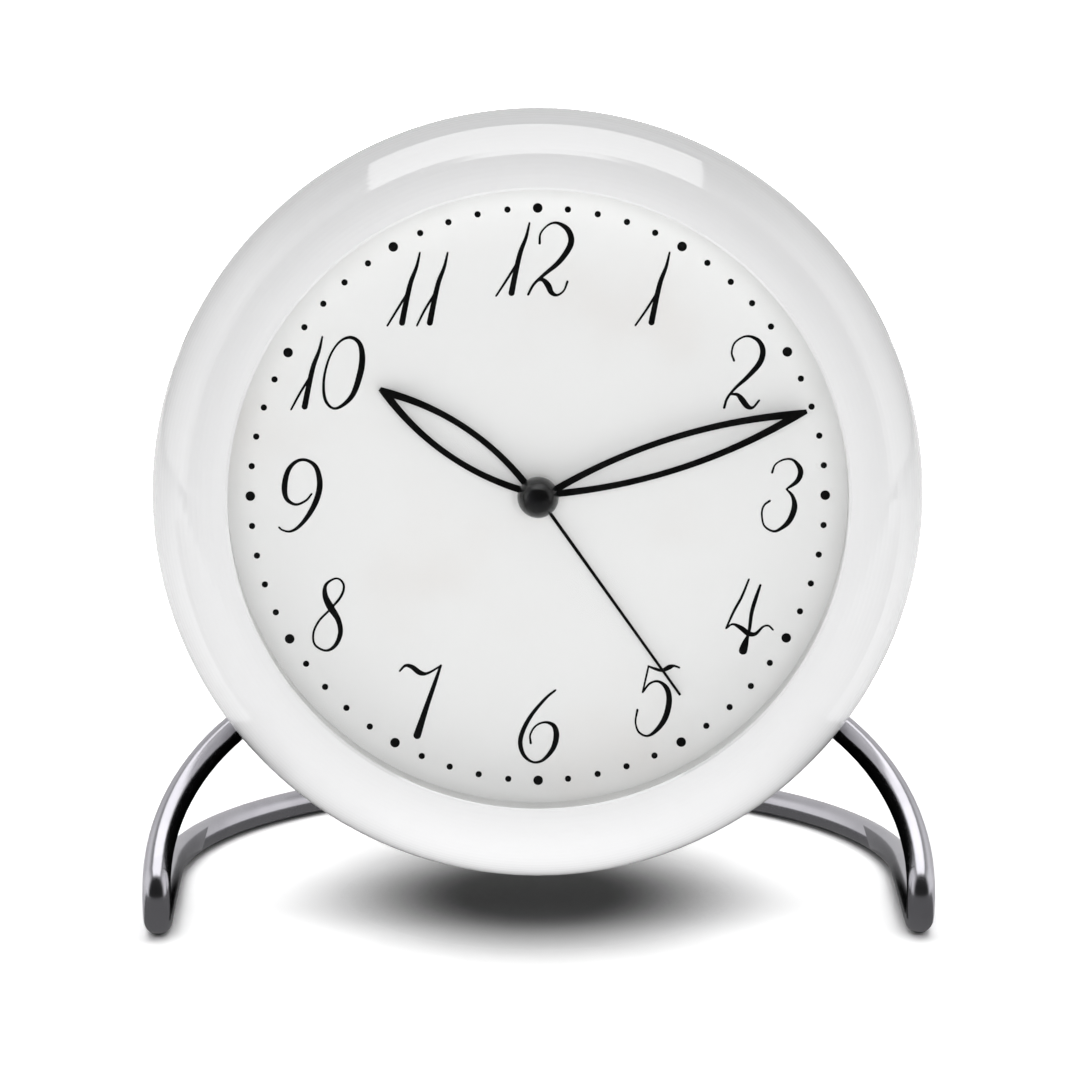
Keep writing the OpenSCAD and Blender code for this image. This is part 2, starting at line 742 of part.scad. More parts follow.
module shaft_bores(z0, t) {
    for (x = [-set_x, set_x]) translate([x, 0, z0 - cut])
        cylinder(h = t + 2 * cut, r = shaft_r + run);
}

module pivot_bores(z0, t, r) {
    for (p = [third_p, fourth_p, fifth_p, rotor_p]) translate([p[0], p[1], z0 - cut])
        cylinder(h = t + 2 * cut, r = r + run);
}

module middle_plate() { // carries the train's front pivots and the motion wheel's stud
    on_clock("goldenrod") {
        difference() {
            translate([0, 0, middle_back_z]) linear_extrude(plate_t)
                polygon(housing(move_wall + snug, tray_y - move_wall - snug));
            translate([0, 0, middle_back_z - cut])
                cylinder(h = plate_t + 2 * cut, r = arbor_r + run);
            shaft_bores(middle_back_z, plate_t);
            pivot_bores(middle_back_z, plate_t, pivot_r);
        }
        translate([-motion_dist, 0, middle_z - plate_t / 2])
            cylinder(h = hour_wheel_z + level_gap / 2 - middle_z + plate_t / 2, r = arbor_r);
    }
}

module movement_back() {
    inner_z = move_back_z + move_wall;
    on_clock("gainsboro") {
        housing_wall(move_back_z, middle_z);
        difference() {
            translate([0, 0, move_back_z]) linear_extrude(move_wall)
                polygon(housing(move_wall / 2, tray_y - move_wall / 2));
            shaft_bores(move_back_z, move_wall);
        }
        // tray for the cell, open behind
        translate([-move_w / 2 + move_wall / 2, tray_y - move_wall, move_back_z])
            cube([move_w - move_wall, move_wall, middle_z - move_back_z]);
        translate([-inner_w / 2 + snug, tray_y - move_wall, middle_z - cut])
            cube([inner_w - 2 * snug, move_wall, cell_z + cell_r + snug - middle_z + cut]);
        translate([-inner_w / 2 + snug, tray_y - move_wall, cell_z + cell_r + snug])
            cube([inner_w - 2 * snug, cell_d + 2 * snug + move_wall, move_wall]);
        // ledge under the middle plate, and the circuit board's posts
        for (side = [-1, 1]) translate([side * (inner_w / 2), -move_wall, middle_back_z - move_wall])
            translate([side < 0 ? -move_wall / 2 : -move_wall, -2 * move_wall, 0])
            cube([1.5 * move_wall, 6 * move_wall, move_wall]);
        for (p = board_posts) translate([p[0], p[1], move_back_z + move_wall / 2])
            cylinder(h = board_z - board_t - move_back_z - move_wall / 2, r = pillar_r);
    }
}
board_posts = [[-move_w / 2 + 3 * pillar_r, tray_y / 2], [move_w / 2 - 3 * pillar_r, tray_y / 2],
    [-move_w / 4, -move_low + 3 * pillar_r], [move_w / 4, -move_low + 3 * pillar_r]];

module train_bridge() { // carries the train's rear pivots on pillars of the middle plate
    places = concat(pillar_places, [[0, 0], rotor_p]);
    on_clock("goldenrod") {
        difference() {
            translate([0, 0, bridge_z - plate_t]) linear_extrude(plate_t) hull()
                for (p = places) translate(p) circle(r = 2 * pillar_r, $fn = 32);
            pivot_bores(bridge_z - plate_t, plate_t, pivot_r);
            translate([0, 0, bridge_z - plate_t - cut])
                cylinder(h = plate_t + 2 * cut, r = pivot_r + run);
        }
        for (p = pillar_places) translate([p[0], p[1], bridge_z - plate_t / 2])
            cylinder(h = middle_back_z - bridge_z + plate_t / 2, r = pillar_r);
        for (y = [stator_low + pillar_r, stator_high - pillar_r])
            translate([rotor_p[0], y, bridge_z - plate_t / 2])
            cylinder(h = stator_z - stator_t - bridge_z + plate_t / 2, r = stator_pillar_r);
    }
}

module train_piece(p, n, m, z, turn, pinion_m, pinion_turn) { // wheel and pinion on one arbor
    translate([p[0], p[1], 0]) {
        wheel(n, m, z, train_t, turn);
        wheel(pinion_n, pinion_m, z + stage + pinion_over, stage + pinion_over, pinion_turn);
        translate([0, 0, bridge_z - plate_t])
            cylinder(h = middle_z - bridge_z + plate_t - level_gap / 2, r = pivot_r);
    }
}

module centre_wheel() { // held on the minute arbor by friction, so that the hands can be set
    on_clock("gold") difference() {
        union() {
            wheel(centre_n, tooth_m, centre_z, train_t, 0);
            translate([0, 0, centre_z - train_t]) cylinder(h = 2 * train_t, r = 2 * arbor_r);
        }
        translate([0, 0, centre_z - train_t - cut])
            cylinder(h = 2 * train_t + 2 * cut, r = arbor_r + run);
    }
}

module third_wheel() {
    on_clock("gold") train_piece(third_p, third_n, tooth_m, third_z, third_turn, tooth_m, third_turn);
}

module fourth_wheel() {
    on_clock("gold")
        train_piece(fourth_p, fourth_n, fifth_m, fourth_z, fourth_turn, tooth_m, fourth_turn);
}

module fifth_wheel() {
    on_clock("gold")
        train_piece(fifth_p, fifth_n, tooth_m, fifth_z, fifth_turn, fifth_m, fifth_turn);
}

module rotor() { // magnet and pinion on one arbor
    on_clock("dimgray") translate([rotor_p[0], rotor_p[1], 0]) {
        translate([0, 0, magnet_z - magnet_t]) cylinder(h = magnet_t, r = magnet_r);
        wheel(pinion_n, tooth_m, fifth_z + train_t / 2, fifth_z + train_t / 2 - magnet_z,
            rotor_turn);
        translate([0, 0, bridge_z - plate_t])
            cylinder(h = middle_z - bridge_z + plate_t - level_gap / 2, r = pivot_r);
    }
}

module stator() {
    right = coil_p[0] + core_w / 2;
    on_clock("slategray") translate([0, 0, stator_z - stator_t]) linear_extrude(stator_t)
        difference() {
            translate([rotor_p[0] - stator_r, stator_low])
                square([right - rotor_p[0] + stator_r, stator_high - stator_low]);
            translate([rotor_p[0] + stator_r, coil_p[1] - coil_l / 2 - snug])
                square([right - core_w - rotor_p[0] - stator_r, coil_l + 2 * snug]);
            translate([right - core_w - snug, coil_p[1] - coil_l / 2 - snug])
                square([snug, coil_l + 2 * snug]);
            translate(rotor_p) circle(r = magnet_r + pole_gap);
        }
}

module on_coil() {
    translate([coil_p[0], coil_p[1], stator_z - stator_t / 2]) rotate([90, 0, 0]) children();
}

flange_t = 0.6;
module coil_bobbin() {
    on_clock("white") on_coil() difference() {
        union() {
            cylinder(h = coil_l, r = bobbin_r, center = true);
            for (s = [-1, 1]) translate([0, 0, s * (coil_l - flange_t) / 2])
                cylinder(h = flange_t, r = coil_r, center = true);
        }
        cube([core_w + 2 * snug, stator_t + 2 * snug, coil_l + 2 * cut], center = true);
    }
}

module coil_winding() {
    on_clock("orangered") on_coil() difference() {
        cylinder(h = coil_l - 2 * flange_t - snug, r = coil_r - snug, center = true);
        cylinder(h = coil_l, r = bobbin_r + snug / 2, center = true);
    }
}

module circuit_board() {
    on_clock("darkgreen") difference() {
        translate([0, 0, board_z - board_t]) linear_extrude(board_t)
            polygon(housing(move_wall + board_gap, tray_y - move_wall - board_gap));
        for (x = [-set_x, set_x]) translate([x, 0, board_z - board_t - cut])
            cylinder(h = board_t + 2 * cut, r = 2 * shaft_r);
    }
}

can_l = 8;
can_r = 1.5;
module quartz_can() {
    on_clock("silver") translate([-can_l, -can_l, board_z - board_t - can_r]) rotate([0, 90, 0])
        cylinder(h = can_l, r = can_r);
}

chip_w = 7;
module circuit_chip() {
    on_clock("black") translate([chip_w / 2, -chip_w * 1.5, board_z - board_t - can_r])
        cube([chip_w, chip_w, can_r]);
}

nub_r = 2.6;
nub_l = 1;
contact_over = 1; // of the plus contact round the nub
module battery() {
    on_clock("steelblue") translate([0, cell_y, cell_z]) rotate([0, 90, 0]) {
        translate([0, 0, -cell_l / 2]) cylinder(h = cell_l - nub_l, r = cell_r);
        translate([0, 0, cell_l / 2 - nub_l - cut]) cylinder(h = nub_l + cut, r = nub_r);
    }
}

module battery_plus_contact() {
    x = cell_l / 2;
    half = nub_r + contact_over;
    on_clock("silver") translate([x, cell_y - half, cell_z - half])
        cube([inner_w / 2 - x, 2 * half, 2 * half]);
}

// A spring wound from r0 to r1, rising from 0 to len, as one unbroken wire
module coil_spring(r0, r1, len, turns, wire, steps = 14, sides = 6) {
    n = round(steps * turns);
    w = wire / 2;
    points = [for (i = [0:n]) let (a = 360 * turns * i / n, r = r0 + (r1 - r0) * i / n,
        z = w + (len - wire) * i / n) for (k = [0:sides - 1]) let (b = 360 * k / sides)
        [(r + w * cos(b)) * cos(a), (r + w * cos(b)) * sin(a), z + w * sin(b)]];
    skin = [for (i = [0:n - 1]) for (k = [0:sides - 1]) let (p = i * sides + k,
        q = i * sides + (k + 1) % sides) each [[p, p + sides, q + sides], [p, q + sides, q]]];
    polyhedron(points, concat([[for (k = [0:sides - 1]) k]],
        skin, [[for (k = [sides - 1:-1:0]) n * sides + k]]));
}

cell_wire = 0.28;
cell_turns = 1.8;
module battery_minus_spring() {
    on_clock("silver") translate([-inner_w / 2, cell_y, cell_z]) rotate([0, 90, 0])
        coil_spring(cell_r / 2, cell_r / 4, (inner_w - cell_l) / 2, cell_turns, cell_wire);
}

module buzzer() {
    on_clock("black") translate([0, speaker_y, cover_in_z])
        cylinder(h = move_back_z - cover_in_z - level_gap, r = speaker_r);
}

switch_l = 10;
lever_l = 1.4;
module alarm_switch_body() {
    z0 = cover_in_z + level_gap;
    on_clock("silver") difference() {
        translate([-switch_l / 2, slide_y - slide_w, z0])
            cube([switch_l, 2 * slide_w, move_back_z - z0]);
        translate([-(slide_travel + lever_l) / 2 - snug, slide_y - lever_l / 2 - snug, z0 - cut])
            cube([slide_travel + lever_l + 2 * snug, lever_l + 2 * snug, lever_l + cut + snug]);
    }
}

module alarm_slide() { // drawn at off, slides towards +X
    z0 = cover_in_z + level_gap / 2;
    on_clock("orangered") translate([-slide_travel / 2, slide_y, 0]) {
        translate([-slide_l / 2, -slide_w / 2, cover_z - knob_h / 5])
            cube([slide_l, slide_w, z0 - cover_z + knob_h / 5]);
        translate([-lever_l / 2, -lever_l / 2, z0 - cut])
            cube([lever_l, lever_l, lever_l + cut + level_gap / 2]);
    }
}

// Snooze button, in the top of the rear housing

snooze_z = -15;
key_r = drum_r - drum_draft * snooze_z / -drum_depth; // outer radius of the housing there
flange_gap = 0.35; // from the flange that keeps the button in to the housing at its back
flange_r = drum_back_r - drum_wall - flange_gap;
flange_h = 1;
tap_d = 6; // body of the switch under the button
tap_h = 2.6;
tap_gap = 2; // from the switch's body to the flange of the pressed button
tap_board_y = flange_r - flange_h - snooze_travel - tap_h - tap_gap;
tap_wire = 0.4;
tap_turns = 3.5;
tap_spring_r = 2.4;
rail_t = 1.6;
rail_x = snooze_l / 2 + flange_h + rail_t;

module capsule(l, w, y0, y1) { // upright prism with round ends through the housing's top
    translate([0, y0, snooze_z]) rotate([-90, 0, 0]) linear_extrude(y1 - y0) {
        square([l - w, w], center = true);
        for (s = [-1, 1]) translate([s * (l - w) / 2, 0]) circle(r = w / 2);
    }
}

module shell_cut(r0, r1) { // between two radii about the clock's axis, behind the front ring
    difference() {
        translate([0, 0, -drum_depth]) cylinder(h = drum_depth, r = r1, $fn = 180);
        translate([0, 0, -drum_depth - cut]) cylinder(h = drum_depth + 2 * cut, r = r0, $fn = 180);
    }
}

module snooze_slot(gap) {
    capsule(snooze_l + 2 * gap, snooze_w + 2 * gap, key_r - 3 * drum_wall, drum_r + drum_wall);
}

module snooze_rails() { // two rails with a ledge for the button's board
    intersection() {
        cylinder(h = 2 * drum_depth, r = drum_r - drum_wall / 2 - drum_draft, center = true);
        for (s = [-1, 1]) translate([0, 0, snooze_z - snooze_w / 2]) {
            translate([s * rail_x + (s < 0 ? -rail_t : 0), tap_board_y - 2 * rail_t, 0])
                cube([rail_t, drum_r, snooze_w]);
            translate([s * rail_x + (s < 0 ? -cut : -rail_t), tap_board_y - 2 * rail_t, 0])
                cube([rail_t + cut, rail_t, snooze_w]);
        }
    }
}

module snooze_button() {
    stem_low = tap_board_y + tap_h + rail_t / 2 + snooze_travel;
    on_clock("white") {
        intersection() {
            capsule(snooze_l, snooze_w, 0, drum_r + drum_wall);
            shell_cut(flange_r - flange_h, key_r + snooze_h);
        }
        intersection() {
            capsule(snooze_l + 2 * flange_h, snooze_w + 2 * flange_h, 0, drum_r + drum_wall);
            shell_cut(flange_r - flange_h, flange_r);
        }
        translate([0, stem_low, snooze_z]) rotate([-90, 0, 0])
            cylinder(h = flange_r - flange_h / 2 - stem_low, r = pillar_r);
    }
}

module snooze_board() {
    on_clock("darkgreen") translate([-rail_x + snug / 2, tap_board_y - rail_t,
        snooze_z - snooze_w / 2])
        cube([2 * rail_x - snug, rail_t, snooze_w]);
}

module snooze_switch() {
    on_clock("dimgray") {
        translate([-tap_d / 2, tap_board_y, snooze_z - tap_d / 2]) cube([tap_d, tap_h, tap_d]);
        translate([0, tap_board_y + tap_h - cut, snooze_z]) rotate([-90, 0, 0])
            cylinder(h = rail_t / 2 + cut, r = pillar_r);
    }
}

module snooze_spring() {
    on_clock("silver") translate([0, tap_board_y + tap_h, snooze_z]) rotate([-90, 0, 0])
        coil_spring(tap_spring_r, tap_spring_r, flange_r - flange_h - tap_board_y - tap_h,
            tap_turns, tap_wire);
}

bezel_ring();
crystal();
crystal_gasket();
spacer_ring();
dial_plate();
rear_housing();
rear_cover();
cover_screws();
battery_door();
stand_rod();
stand_grub_screws();
minute_hand();
hand_cap();
hour_hand();
alarm_hand();
minute_arbor();
hour_wheel();
motion_wheel();
alarm_wheel();
time_set_shaft();
time_set_knob();
alarm_set_shaft();
alarm_set_knob();
movement_front();
middle_plate();
movement_back();
train_bridge();
centre_wheel();
third_wheel();
fourth_wheel();
fifth_wheel();
rotor();
stator();
coil_bobbin();
coil_winding();
circuit_board();
quartz_can();
circuit_chip();
battery();
battery_plus_contact();
battery_minus_spring();
buzzer();
alarm_switch_body();
alarm_slide();
snooze_button();
snooze_board();
snooze_switch();
snooze_spring();
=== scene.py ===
"""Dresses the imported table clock: finishes, dial print, marks on the back, stage and camera."""

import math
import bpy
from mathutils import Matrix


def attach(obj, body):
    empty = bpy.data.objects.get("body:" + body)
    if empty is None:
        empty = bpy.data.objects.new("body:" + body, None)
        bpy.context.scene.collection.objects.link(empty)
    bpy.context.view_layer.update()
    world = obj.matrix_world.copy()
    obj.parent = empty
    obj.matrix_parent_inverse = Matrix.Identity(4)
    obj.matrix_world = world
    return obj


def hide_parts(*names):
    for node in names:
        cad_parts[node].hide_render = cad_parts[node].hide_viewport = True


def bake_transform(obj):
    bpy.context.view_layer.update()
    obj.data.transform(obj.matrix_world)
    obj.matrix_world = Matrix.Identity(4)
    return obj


bl_info = {
    "name": "Table Clock Dressing",
    "version": (1, 0, 0),
    "blender": (4, 5, 0),
    "location": "3D View > Sidebar > Clock",
    "description": "Finishes, dial print and stage of a round table clock",
    "category": "Object",
}

import bpy
import numpy as np
from mathutils import Matrix, Vector

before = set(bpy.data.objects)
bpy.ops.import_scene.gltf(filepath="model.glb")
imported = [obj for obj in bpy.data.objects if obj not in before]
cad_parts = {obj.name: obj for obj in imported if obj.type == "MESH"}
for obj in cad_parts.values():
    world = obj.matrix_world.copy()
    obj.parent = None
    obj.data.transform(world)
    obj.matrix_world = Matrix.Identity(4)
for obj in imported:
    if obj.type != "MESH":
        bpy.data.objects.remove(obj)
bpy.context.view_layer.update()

TILT = math.radians(5.5)  # the dial leans back by this
RIGHT = np.array([1.0, 0.0, 0.0])
UP = np.array([0.0, math.sin(TILT), math.cos(TILT)])  # up along the dial
OUT = np.array([0.0, -math.cos(TILT), math.sin(TILT)])  # out of the dial
CENTRE = np.array([0.0, -0.02325, 0.0605])  # middle of the case on the hands' axis

PRINT_LIFT = 2.5e-5  # print lies this far over what it is printed on
STROKE_LIFT = 3e-6  # and a stroke that crosses another lies this much higher
WHITE = (1, 1, 1, 1)
BLACK = (0, 0, 0, 1)


def reach(node, way):
    """Distances of a node's first and last point from the case's middle, along one way."""
    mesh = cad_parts[node].data
    points = np.empty(len(mesh.vertices) * 3)
    mesh.vertices.foreach_get("co", points)
    distances = (points.reshape(-1, 3) - CENTRE) @ way
    return float(distances.min()), float(distances.max())


DIAL_FACE = reach("dial_plate", OUT)[1]
COVER_FACE = reach("rear_cover", OUT)[0]


# Meshes

CAP_STEPS = 5  # points of a pen stroke's rounded end
CAP_REACH = 0.995  # share of the end's length at which its last point lies


def place(x, y, z):
    """Point of the clock's own frame in the world: x to the right, y up the dial, z out of it."""
    x, y, z = np.broadcast_arrays(x, y, z)
    return CENTRE + x[..., None] * RIGHT + y[..., None] * UP + z[..., None] * OUT


def grid_faces(rows, columns, close=False):
    """Quads of a grid of rows by columns points, joined round from the last column if closed."""
    across = columns if close else columns - 1
    i, j = np.meshgrid(np.arange(rows - 1), np.arange(across), indexing="ij")
    k = (j + 1) % columns
    quads = [i * columns + j, i * columns + k, (i + 1) * columns + k, (i + 1) * columns + j]
    return np.stack(quads, -1).reshape(-1, 4)


def add_object(name, data):
    """New object of the scene."""
    thing = bpy.data.objects.new(name, data)
    bpy.context.scene.collection.objects.link(thing)
    return thing


def new_piece(name, parts, body, material):
    """Object from parts, each an array of points and an array of faces, riding on a body."""
    points, faces, first = [], [], 0
    for p, f in parts:
        p = np.asarray(p).reshape(-1, 3)
        points.append(p)
        faces.extend((np.asarray(f) + first).tolist())
        first += len(p)
    mesh = bpy.data.meshes.new(name)
    mesh.from_pydata(np.concatenate(points).tolist(), [], faces)
    mesh.update()
    piece = add_object(name, mesh)
    mesh.materials.append(material)
    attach(piece, body)
    return piece


def through(points, steps):
    """Smooth curve through points: on each span the Catmull-Rom cubic of the four nearest."""
    p = np.asarray(points, float)
    closed = np.allclose(p[0], p[-1])
    before = p[-2] if closed else 2 * p[0] - p[1]
    after = p[1] if closed else 2 * p[-1] - p[-2]
    e = np.vstack([before, p, after])
    a, b, c, d = (e[i:len(e) - 3 + i, None] for i in range(4))
    u = np.linspace(0, 1, steps, endpoint=False)[None, :, None]
    square, cube = 2 * a - 5 * b + 4 * c - d, 3 * b - a - 3 * c + d
    spans = (2 * b + (c - a) * u + square * u**2 + cube * u**3) / 2
    return np.vstack([spans.reshape(-1, p.shape[1]), p[-1]])


def pen_stroke(points, steps=12, cap=0.5):
    """Flat pen stroke: a curve of centres and widths, swept by a cross line at right angles to it.

    Each end is rounded over cap times its width: the width goes on past it as the root of one less
    the square of the way.
    """
    q = through(points, steps)
    way = np.gradient(q[:, :2], axis=0)
    way /= np.linalg.norm(way, axis=1)[:, None]
    if cap:
        turn = np.linspace(0, CAP_REACH, CAP_STEPS + 1)[1:]
        fall = np.sqrt(1 - turn**2)
        ends = [np.column_stack([q[i, :2] + sign * way[i] * (cap * q[i, 2] * turn)[:, None],
                                 q[i, 2] * fall]) for i, sign in ((0, -1), (-1, 1))]
        q = np.vstack([ends[0][::-1], q, ends[1]])
        way = np.vstack([np.tile(way[0], (CAP_STEPS, 1)), way, np.tile(way[-1], (CAP_STEPS, 1))])
    across = np.stack([way[:, 1], -way[:, 0]], 1)
    s = np.array([-0.5, 0.5])
    return q[:, None, :2] + s[None, :, None] * (q[:, None, 2:] * across[:, None, :])


# Shader nodes

TONE_DETAIL = 4  # octaves of the clouds in a tone
SKIN_DETAIL = 3  # octaves of the grain of a skin
BROAD_SCALE = 45  # scale of the broad unevenness of a skin
FINE_SHARE = 0.35  # share of the grain that is added to it
SKIN_LOW, SKIN_HIGH = 0.4, 0.95  # sums at which a skin is at its smoothest and at its roughest
GRAIN_HEIGHT = 0.0002  # height of the bump at full strength


def set_inputs(tree, node, inputs):
    """Gives inputs, by name or number, a plain value or a link from another node's output."""
    for socket, value in inputs.items():
        if isinstance(value, bpy.types.NodeSocket):
            tree.links.new(value, node.inputs[socket])
        else:
            node.inputs[socket].default_value = value


def add_node(tree, kind, inputs=None, **settings):
    """Outputs of a new shader node."""
    node = tree.nodes.new("ShaderNode" + kind)
    for name, value in settings.items():
        setattr(node, name, value)
    set_inputs(tree, node, inputs or {})
    return node.outputs


def calc(tree, operation, *terms):
    """Output of a Math node on numbers and other nodes' outputs."""
    return add_node(tree, "Math", dict(enumerate(terms)), operation=operation)["Value"]


def soft_range(tree, value, start, end, low=0.0, high=1.0):
    """Output that goes smoothly from low to high while a value goes from start to end."""
    inputs = {"Value": value, "From Min": start, "From Max": end, "To Min": low, "To Max": high}
    return add_node(tree, "MapRange", inputs, interpolation_type="SMOOTHSTEP")["Result"]


def shader_group(name, inputs, outputs):
    """Node group with named float, colour and vector sockets: itself, its inputs, its end node."""
    group = bpy.data.node_groups.new(name, "ShaderNodeTree")
    kinds = {"f": "NodeSocketFloat", "c": "NodeSocketColor", "v": "NodeSocketVector"}
    for label, kind, default in inputs:
        socket = group.interface.new_socket(name=label, in_out="INPUT", socket_type=kinds[kind])
        if default is not None:
            socket.default_value = default
    for label, kind in outputs:
        group.interface.new_socket(name=label, in_out="OUTPUT", socket_type=kinds[kind])
    return group, group.nodes.new("NodeGroupInput").outputs, group.nodes.new("NodeGroupOutput")


def tone_group():
    """Two tones of one colour, mixed by a soft cloud over the surface."""
    group, given, out = shader_group(
        "Tone", [("Position", "v", None), ("Colour", "c", (0.8, 0.8, 0.8, 1)),
                 ("Second", "c", (0.7, 0.7, 0.7, 1)), ("Scale", "f", 60.0), ("Low", "f", 0.4),
                 ("High", "f", 0.65)], [("Colour", "c")])
    clouds = {"Vector": given["Position"], "Scale": given["Scale"], "Detail": TONE_DETAIL}
    noise = add_node(group, "TexNoise", clouds)["Fac"]
    cloud = soft_range(group, noise, given["Low"], given["High"])
    tones = {"Factor": cloud, "A": given["Colour"], "B": given["Second"]}
    set_inputs(group, out, {"Colour": add_node(group, "Mix", tones, data_type="RGBA")["Result"]})
    return group


def skin_group():
    """Fine grain of a surface: a roughness between two values and a height for the bump."""
    group, given, out = shader_group(
        "Skin", [("Position", "v", None), ("Scale", "f", 900.0), ("Smooth", "f", 0.1),
                 ("Rough", "f", 0.2)], [("Roughness", "f"), ("Height", "f")])
    where = given["Position"]
    grains = {"Vector": where, "Scale": given["Scale"], "Detail": SKIN_DETAIL}
    fine = add_node(group, "TexNoise", grains)["Fac"]
    broad = add_node(group, "TexNoise", {"Vector": where, "Scale": BROAD_SCALE})["Fac"]
    both = calc(group, "MULTIPLY_ADD", fine, FINE_SHARE, broad)
    roughs = {"Value": both, "From Min": SKIN_LOW, "From Max": SKIN_HIGH,
              "To Min": given["Smooth"], "To Max": given["Rough"]}
    rough = add_node(group, "MapRange", roughs)["Result"]
    set_inputs(group, out, {"Roughness": rough, "Height": fine})
    return group


TONE = tone_group()
SKIN = skin_group()


def node_material(name):
    """Material with only its Principled BSDF and output."""
    material = bpy.data.materials.new(name)
    material.use_nodes = True
    tree = material.node_tree
    return material, tree, tree.nodes["Principled BSDF"]


def finish(name, colour, second, scale=60, low=0.4, high=0.65, grain=900, smooth=0.1, rough=0.2,
           bump=0.02, stretch=(1, 1, 1), **sockets):
    """Material of one finish: tone and skin on Object coordinates, other sockets as given."""
    material, tree, bsdf = node_material(name)
    where = add_node(tree, "TexCoord")["Object"]
    stretched = add_node(tree, "Mapping", {"Vector": where, "Scale": stretch})["Vector"]
    tones = {"Position": where, "Colour": (*colour, 1), "Second": (*second, 1), "Scale": scale,
             "Low": low, "High": high}
    tone = add_node(tree, "Group", tones, node_tree=TONE)["Colour"]
    grains = {"Position": stretched, "Scale": grain, "Smooth": smooth, "Rough": rough}
    skin = add_node(tree, "Group", grains, node_tree=SKIN)
    bumps = {"Strength": bump, "Distance": GRAIN_HEIGHT, "Height": skin["Height"]}
    relief = add_node(tree, "Bump", bumps)["Normal"]
    set_inputs(tree, bsdf, {"Base Color": tone, "Roughness": skin["Roughness"], "Normal": relief})
    set_inputs(tree, bsdf, {socket.replace("_", " "): value for socket, value in sockets.items()})
    return material


def dress(material, *nodes):
    """Gives CAD nodes their finish."""
    for name in nodes:
        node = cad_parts[name]
        node.data.materials.clear()
        node.data.materials.append(material)


def shaded(colour, share):
    """Darker second tone of a colour."""
    return tuple(share * c for c in colour)


# Settings


def colour_property(name, description, default):
    return bpy.props.FloatVectorProperty(name=name, description=description, subtype="COLOR",
                                         size=3, min=0, max=1, default=default)


def length_property(name, description, default, least, most):
    return bpy.props.FloatProperty(name=name, description=description, unit="LENGTH",
                                   default=default, min=least, max=most)


def level_property(name, description, default):
    return bpy.props.FloatProperty(name=name, description=description, default=default, min=0)


def angle_property(name, description, degrees):
    return bpy.props.FloatProperty(name=name, description=description, subtype="ANGLE",
                                   default=math.radians(degrees))


class ClockCaseSettings(bpy.types.PropertyGroup):
    lacquer: colour_property("Lacquer", "Colour of the glossy case", (0.86, 0.86, 0.865))
    plastic: colour_property("Plastic", "Colour of the plain plastic behind", (0.8, 0.8, 0.79))
    slide: colour_property("Slide", "Colour of the alarm slide", (0.55, 0.08, 0.04))


class ClockDialSettings(bpy.types.PropertyGroup):
    paper: colour_property("Dial", "Colour of the dial", (0.9, 0.9, 0.895))
    # Painted reflection: the warm clouds on the dial stand in for blotchy reflections on it
    painted_light: colour_property("Dial Painted Reflection", "Warm tone of the dial's clouds", (0.84, 0.815, 0.795))
    ink: colour_property("Ink", "Colour of numerals, dots and hands", (0.002, 0.002, 0.002))
    numeral_height: length_property("Numeral Height", "Height of a numeral", 0.01055, 0.008, 0.012)
    dot_circle: length_property("Dot Circle", "Radius of the circle of dots", 0.0409, 0.038, 0.042)
    hour_dot: length_property("Hour Dot", "Diameter of a dot at an hour", 0.00138, 0.001, 0.002)
    minute_dot: length_property("Minute Dot", "Diameter of the other dots", 0.0009, 0.0005, 0.0012)


class ClockStageSettings(bpy.types.PropertyGroup):
    floor: colour_property("Floor", "Colour of the floor", (0.96, 0.96, 0.96))
    floor_seen: level_property("Floor Seen", "Share of its light that the camera sees", 2.0)
    # Painted shade: the level of the floor's colour in the oval under the case
    floor_shade: level_property("Floor Shade", "The same share where the case stands over it", 0.1)
    front_start: level_property("Front Start", "Where the room in front begins to darken", 0.25)
    front_end: level_property("Front End", "Where it is fully dark", 0.6)
    front_level: level_property("Front Level", "Strength of the dark room in front", 0.02)
    above_level: level_property("Above Level", "Share of the room's strength left high up", 0.3)
    back_level: level_property("Back Level", "Strength of the room behind in gloss", 0.65)
    side_level: level_property("Side Level", "Strength of the rest of the room in gloss", 1.0)
    sky: level_property("Sky", "Strength of the light from all round", 0.25)
    gloss_level: level_property("Gloss Card", "Strength of the bright card above", 1.8)
    card_level: level_property("Table Cards", "Strength of the dark cards on the table", 0.15)
    side_card_level: level_property("Side Cards", "Strength at their far ends", 0.7)
    arm_card_level: level_property("Arm Cards", "Strength of the cards by the arms", 0.0)
    hoop_card_level: level_property("Hoop Cards", "Strength at their rear ends", 0.3)
    softbox_power: level_property("Softbox Power", "Power of the softbox above, in watts", 4.5)
    key_power: level_property("Key Power", "Power of the lamp in front, in watts", 9.4)
    rear_power: level_property("Rear Power", "Power of the lamp behind, in watts", 7.0)
    bounce_power: level_property("Bounce Power", "Power of the lamp on the floor, in watts", 1.4)
    distance: length_property("Camera Distance", "From the case to the camera", 0.8, 0.3, 10)
    elevation: angle_property("Camera Elevation", "Angle above the table", 11)
    azimuth: angle_property("Camera Azimuth", "Angle to the left of straight ahead", 0.5)


# Case and stand


